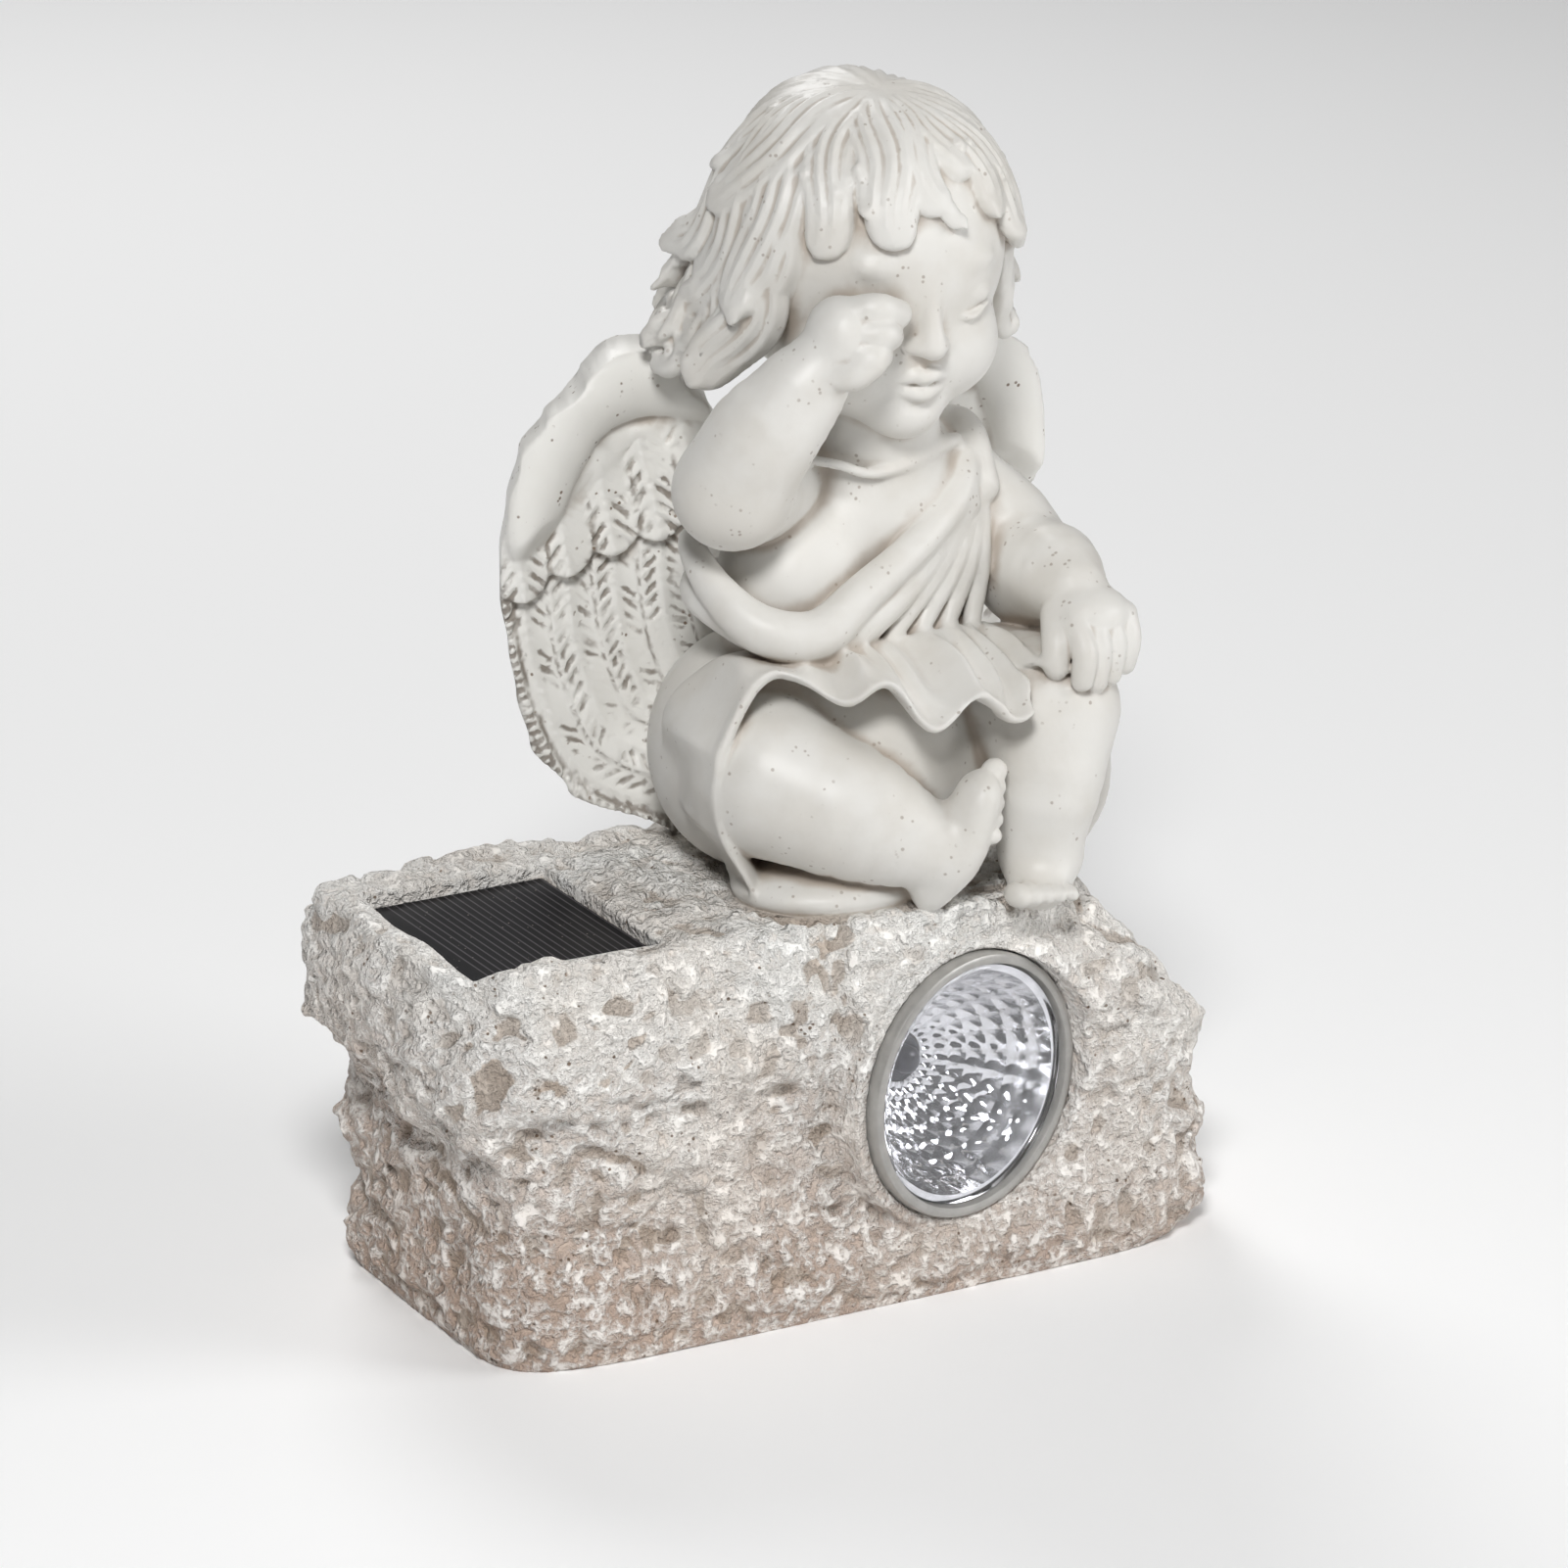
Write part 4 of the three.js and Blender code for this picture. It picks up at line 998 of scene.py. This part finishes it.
def painted_resin():
    n = Nodes("painted_resin")
    at = n.where()
    names = ("rock", "recess", "groove", "wing", "slit")
    rock, recess, groove, wing, slit = (n.attribute(name) for name in names)
    place = n.node("ShaderNodeSeparateXYZ", {0: at})
    # Fine crumbs of the rock: a height from 0 to 1 that the colour and the relief share.
    coarse = n.noise(at, 330, 3, 0.6, offset=(0.3, 0, 0))
    fine = n.noise(at, 900, 3, 0.6)
    crumb = n.plus(n.times(coarse, 0.65), n.times(fine, 0.35))
    ivory = n.blend(n.band(n.noise(at, 60, 4), 0.35, 0.7), rgb(0.70, 0.687, 0.655), rgb(0.64, 0.618, 0.575))
    stone = n.blend(n.band(n.noise(at, 45, 5), 0.35, 0.68), rgb(0.95, 0.94, 0.91), rgb(0.90, 0.855, 0.80))
    # The foot of the rock carries a warm wash, and the same brown on the rock's left side is painted shade;
    # the high crumbs stay pale.
    climb = n.plus(place.outputs["Z"], n.times(n.noise(at, 22, 5), 0.11))
    # Places left of the middle count as lower, which spreads the brown up the rock's left side as painted
    # shade.
    side = n.times(place.outputs["X"], 0.5)
    climb = n.plus(climb, n.maths("MINIMUM", n.plus(side, 0.022), 0.0))
    low = n.fade(climb, 0.045, 0.125)
    wash_and_left_shade = n.times(low, n.minus(1.0, n.times(n.band(crumb, 0.42, 0.6), 0.75)))
    stone = n.blend(n.times(wash_and_left_shade, 0.85), stone, rgb(0.50, 0.345, 0.26))
    # Tan shows in pits and hollows, partly the paint's own tan and partly painted shade.
    pit = n.fade(crumb, 0.37, 0.5)
    pit = n.times(pit, n.band(n.noise(at, 70, 3, offset=(7, 7, 1)), 0.22, 0.6))
    hollow = n.band(n.plus(groove, n.times(fine, 0.6)), 0.42, 0.72)
    hollow = n.times(hollow, n.band(n.noise(at, 26, 4, offset=(3, 1, 6)), 0.3, 0.7))
    pit = n.most(n.times(pit, 0.35), hollow)
    stone = n.blend(n.times(pit, 0.8), stone, rgb(0.42, 0.325, 0.25))
    # The wings are painted paler than the figure as painted light; their real paint is the same.
    ivory = n.blend(n.times(wing, 0.7), ivory, rgb(0.88, 0.87, 0.83))
    base = n.blend(rock, ivory, stone)
    # Brown stain and painted shade settle in recesses and grooves.
    spread = n.noise(at, 120, 4, offset=(5, 2, 8))
    deep = n.band(n.plus(recess, n.times(spread, 0.6)), 0.45, 1.1)
    narrow = n.band(n.plus(groove, n.times(spread, 0.35)), 0.3, 0.6)
    deep = n.most(deep, n.times(narrow, n.minus(0.75, n.times(wing, 0.4))))
    rough = n.most(rock, wing)
    # This darkening is partly real brown stain and partly painted shade in the hollows.
    stain_and_shade = n.times(deep, n.minus(0.62, n.times(rock, 0.4)))
    base = n.blend(stain_and_shade, base, rgb(0.30, 0.225, 0.16))
    # Dark dirt and painted shade fill the wings' slits and seams and the edges under the coverts.
    dark = n.times(n.band(slit, 0.1, 0.75), n.band(n.noise(at, 160, 3, offset=(2, 6, 4)), 0.34, 0.56))
    base = n.blend(n.times(dark, 0.78), base, rgb(0.15, 0.115, 0.085))
    # Small dark specks, thick on the rock and wings and thin elsewhere.
    cells = n.node("ShaderNodeTexVoronoi", {"Vector": at, "Scale": 560.0})
    wobble = n.plus(cells.outputs["Distance"], n.times(fine, 0.25))
    dot = n.fade(wobble, 0.26, 0.38)
    patch = n.band(n.noise(at, 150, 2, offset=(9, 4, 1)), 0.55, 0.64)
    few = n.times(dot, n.times(patch, n.plus(0.5, n.times(rough, 0.4))))
    base = n.blend(few, base, rgb(0.17, 0.11, 0.065))
    relief = n.times(n.band(crumb, 0.34, 0.62), rock)
    grain = n.bumped(relief, 0.0013, 1.0)
    brush = n.bumped(n.noise(at, 260, 3), 0.0002, 0.35, grain)
    rough_value = n.plus(0.42, n.times(rock, 0.4))
    return n.set(Base_Color=base, Roughness=rough_value, Normal=brush, Specular_IOR_Level=0.35)


def solar_glass():
    n = Nodes("solar_cell")
    at = n.where()
    parts = n.node("ShaderNodeSeparateXYZ", {0: at})
    line = n.maths("ABSOLUTE", n.minus(n.maths("FRACT", n.times(parts.outputs["X"], 560.0)), 0.5))
    thin = n.fade(line, 0.04, 0.14)
    # A plain black margin runs along the outer side.
    margin = cell_low[0] + 0.0045
    thin = n.times(thin, n.band(parts.outputs["X"], margin, margin + 0.0004))
    base = n.blend(n.times(thin, 0.6), rgb(0.003, 0.0028, 0.004), rgb(0.13, 0.12, 0.13))
    cells = n.node("ShaderNodeTexVoronoi", {"Vector": at, "Scale": 700.0})
    dust = n.fade(cells.outputs["Distance"], 0.06, 0.14)
    dust = n.times(dust, n.band(n.noise(at, 300, 2), 0.55, 0.62))
    base = n.blend(dust, base, rgb(0.32, 0.27, 0.25))
    rough = n.plus(0.3, n.times(n.noise(at, 90, 3), 0.15))
    return n.set(Base_Color=base, Roughness=rough, Specular_IOR_Level=0.06)


def plain_plastic(name, colour, roughness, metallic=0.0, scale=300, coat=0.0):
    n = Nodes(name)
    at = n.where()
    shade = n.band(n.noise(at, scale, 3), 0.3, 0.7)
    darker = tuple(0.86 * v for v in colour[:3]) + (1.0,)
    rough = n.plus(roughness, n.times(n.noise(at, scale * 2, 2), 0.08))
    normal = n.bumped(n.noise(at, scale * 3, 2), 0.0001, 0.2)
    base = n.blend(shade, colour, darker)
    return n.set(Base_Color=base, Roughness=rough, Metallic=metallic, Normal=normal, Coat_Weight=coat)


def clear_plastic():
    n = Nodes("clear_plastic")
    at = n.where()
    normal = n.bumped(n.noise(at, 120, 2), 0.0001, 0.1)
    clear = rgb(0.97, 0.975, 1.0)
    return n.set(Base_Color=clear, Roughness=0.03, Transmission_Weight=1.0, IOR=1.46, Normal=normal)


def floor_material():
    n = Nodes("floor")
    return n.set(Base_Color=rgb(0.96, 0.96, 0.96), Roughness=0.9, Specular_IOR_Level=0.1)


# Round pieces of the lamp

def turned(name, profile, columns=96, ripple=None):
    """A closed profile of (radius, distance out) turned about the lamp's axis. ripple moves points out."""
    side = np.array([math.cos(LAMP_TURN), math.sin(LAMP_TURN), 0])
    up = np.array([0, 0, 1.0])
    angles = 2 * math.pi * np.arange(columns) / columns
    round_way = side * np.cos(angles)[:, None] + up * np.sin(angles)[:, None]
    rows = []
    for k, (r, out) in enumerate(profile):
        out = np.full(columns, float(out))
        if ripple is not None:
            out += ripple(k, angles, r)
        rows.append(LAMP_FACE + SHIFT + LAMP_AXIS * out[:, None] + round_way * r)
    points = np.vstack(rows) / 1000
    count = len(profile)
    faces = []
    for k in range(count):
        j = (k + 1) % count
        if profile[k][0] < 0.01 and profile[j][0] < 0.01:
            continue
        for c in range(columns):
            d = (c + 1) % columns
            faces.append((k * columns + c, k * columns + d, j * columns + d, j * columns + c))
    obj = mesh_object(name, points, faces)
    edit = bmesh.new()
    edit.from_mesh(obj.data)
    bmesh.ops.remove_doubles(edit, verts=edit.verts, dist=1e-6)
    bmesh.ops.recalc_face_normals(edit, faces=edit.faces)
    edit.to_mesh(obj.data)
    edit.free()
    return obj


def finish_piece(obj, node, material, sharp=None):
    """Gives a piece its material and its place in the part. Edges steeper than sharp degrees stay crisp."""
    obj.data.materials.append(material)
    if sharp is not None:
        for polygon in obj.data.polygons:
            polygon.use_smooth = True
        obj.data.set_sharp_from_angle(angle=math.radians(sharp))
    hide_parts(node)
    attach(obj, "root")


# How far in each round piece of the lamp sits, measured out from the rock's face.
CUP_FLOOR = -CUP_DEPTH + CUP_WALL
LENS_SEAT = RIM_OUT - 1.2 - LENS_THICK
BOWL_TOP = LENS_SEAT - CLEARANCE
CUP_INSIDE = CUP_RADIUS - CUP_WALL
FIT_RADIUS = CUP_INSIDE - CLEARANCE


def lamp_cup():
    rim_back, bevel = RIM_OUT - RIM_THICK, 0.3
    cup = turned("lamp_housing", [
        (0, -CUP_DEPTH), (CUP_RADIUS, -CUP_DEPTH), (CUP_RADIUS, rim_back), (RIM_RADIUS, rim_back),
        (RIM_RADIUS, RIM_OUT - 3 * bevel), (RIM_RADIUS - bevel, RIM_OUT - bevel),
        (RIM_RADIUS - 3 * bevel, RIM_OUT), (CUP_INSIDE + 1.1, RIM_OUT), (CUP_INSIDE + bevel, RIM_OUT - bevel),
        (CUP_INSIDE, RIM_OUT - 3 * bevel), (CUP_INSIDE, CUP_FLOOR), (0, CUP_FLOOR),
    ])
    grey = plain_plastic("lamp_rim", rgb(0.42, 0.41, 0.39), 0.32, 0.35, coat=0.2)
    finish_piece(cup, "lamp_cup", grey, 35)


def lamp_lens():
    r, face = FIT_RADIUS, LENS_SEAT + LENS_THICK
    lens = turned("lamp_front", [
        (0, LENS_SEAT), (r, LENS_SEAT), (r, face - 0.5), (r - 0.5, face - 0.1), (r - 1.2, face),
        (0, face + 0.3),
    ])
    finish_piece(lens, "lamp_lens", clear_plastic(), 35)


def lamp_bowl():
    """A bowl pressed into rings of small mirrors between raised ribs."""
    sectors, rings, fine = 24, 7, 6
    hole = DIODE_RADIUS + CLEARANCE
    profile = []
    for i in range(rings * fine + 1):
        t = i / (rings * fine)
        profile.append((mix(hole, FIT_RADIUS - 1.6, t), BOWL_TOP - BOWL_DEPTH * (1 - t**1.8)))
    back = [(a + BOWL_WALL * 0.7, b - BOWL_WALL) for a, b in profile[:0:-fine]]
    inside = len(profile)
    profile += [(FIT_RADIUS, BOWL_TOP), (FIT_RADIUS, BOWL_TOP - BOWL_WALL)] + back[1:]

    def ripple(k, angles, radius):
        ring = math.sin(math.pi * (k % fine) / fine) if k < inside else 0
        sector = np.abs(np.sin(angles * sectors / 2))
        return -0.8 * ring * sector * min(1, radius / 12)

    bowl = turned("lamp_bowl", profile, columns=sectors * fine, ripple=ripple)
    chrome = plain_plastic("chromed_plastic", rgb(0.95, 0.95, 0.96), 0.1, 1.0, 200)
    finish_piece(bowl, "lamp_reflector", chrome, 24)


def lamp_diode():
    top, foot = BOWL_TOP - BOWL_DEPTH + 0.4, CUP_FLOOR + CLEARANCE
    waist = DIODE_RADIUS * 0.6
    dome = [
        (waist * math.cos(a), top + DIODE_HEIGHT * (0.35 + 0.65 * math.sin(a)))
        for a in np.linspace(0, math.pi / 2, 9)[:-1]
    ]
    diode = turned("lamp_diode_dome", [
        (0, foot), (DIODE_RADIUS, foot), (DIODE_RADIUS, top - 0.3), (DIODE_RADIUS - 0.3, top), (waist, top),
        *dome, (0, top + DIODE_HEIGHT),
    ], 48)
    dark = plain_plastic("diode", rgb(0.10, 0.10, 0.12), 0.25, 0.0, 300, 0.3)
    finish_piece(diode, "lamp_diode", dark, 35)


def cell():
    edit = bmesh.new()
    bmesh.ops.create_cube(edit, size=1)
    place = Matrix.Translation(Vector((cell_low + cell_high) / 2))
    place = place @ Matrix.Diagonal((*(cell_high - cell_low), 1))
    bmesh.ops.transform(edit, matrix=place, verts=edit.verts)
    bmesh.ops.bevel(edit, geom=edit.edges[:], offset=0.0004, segments=3, affect="EDGES")
    mesh = bpy.data.meshes.new("solar_panel")
    edit.to_mesh(mesh)
    edit.free()
    finish_piece(in_scene("solar_panel", mesh), "solar_cell", solar_glass(), 40)


# Floor, light and camera

def stage():
    half = 3.0
    points = [(x * half, y * half, 0) for x, y in ((-1, -1), (1, -1), (1, 1), (-1, 1))]
    floor = mesh_object("floor", points, [(0, 1, 2, 3)])
    floor.data.materials.append(floor_material())


def light(name, at, aim, power, size):
    lamp_data = bpy.data.lights.new(name, "AREA")
    lamp_data.energy = power
    lamp_data.shape = "DISK"
    lamp_data.size = size
    obj = in_scene(name, lamp_data)
    obj.location = at
    obj.rotation_euler = (Vector(aim) - Vector(at)).to_track_quat("-Z", "Y").to_euler()


def lights():
    world = bpy.data.worlds.new("studio")
    world.use_nodes = True
    tree = world.node_tree
    where = tree.nodes.new("ShaderNodeTexCoord").outputs["Generated"]
    parts = tree.nodes.new("ShaderNodeSeparateXYZ")
    tree.links.new(where, parts.inputs[0])
    # Dark near the horizon and bright overhead, so that bright metal has something to show.
    sky = tree.nodes.new("ShaderNodeMapRange")
    sky.inputs["From Min"].default_value = 0.1
    sky.inputs["From Max"].default_value = 0.75
    sky.inputs["To Min"].default_value = 0.7
    sky.inputs["To Max"].default_value = 1.9
    tree.links.new(parts.outputs["Z"], sky.inputs["Value"])
    tree.links.new(sky.outputs["Result"], tree.nodes["Background"].inputs["Strength"])
    bpy.context.scene.world = world
    aim = (0, 0, 0.12)
    light("key", (-0.62, -1.0, 1.15), aim, 16, 0.35)
    light("fill", (1.2, -0.9, 0.7), aim, 10, 0.9)
    light("back", (0.2, 1.2, 1.1), aim, 9, 0.7)


CAMERA_AZIMUTH, CAMERA_ELEVATION, CAMERA_DISTANCE, PIXELS_PER_MM = -29.0, 19.0, 1400.0, 5.13
CAMERA_AIM = np.array([1.8, -1.0, 95.0])
PHOTO_WIDTH = 1601


def camera():
    a, e = math.radians(CAMERA_AZIMUTH), math.radians(CAMERA_ELEVATION)
    back = np.array([math.sin(a) * math.cos(e), -math.cos(a) * math.cos(e), math.sin(e)])
    right = np.array([math.cos(a), math.sin(a), 0])
    up = np.cross(back, right)
    place = (CAMERA_AIM + SHIFT + back * CAMERA_DISTANCE) / 1000
    data = bpy.data.cameras.new("camera")
    data.sensor_width = 36
    data.lens = data.sensor_width * PIXELS_PER_MM * CAMERA_DISTANCE / PHOTO_WIDTH
    data.clip_end = 20
    obj = in_scene("camera", data)
    obj.matrix_world = Matrix((
        (right[0], up[0], back[0], place[0]),
        (right[1], up[1], back[1], place[1]),
        (right[2], up[2], back[2], place[2]),
        (0, 0, 0, 1),
    ))
    bpy.context.scene.camera = obj


camera()
stage()
lights()
lamp_cup()
lamp_lens()
lamp_bowl()
lamp_diode()
cell()
casting = statue()
finish_piece(casting, "statue_casting", painted_resin())

view = bpy.context.scene.view_settings
view.view_transform = "Standard"
view.exposure = 0.1
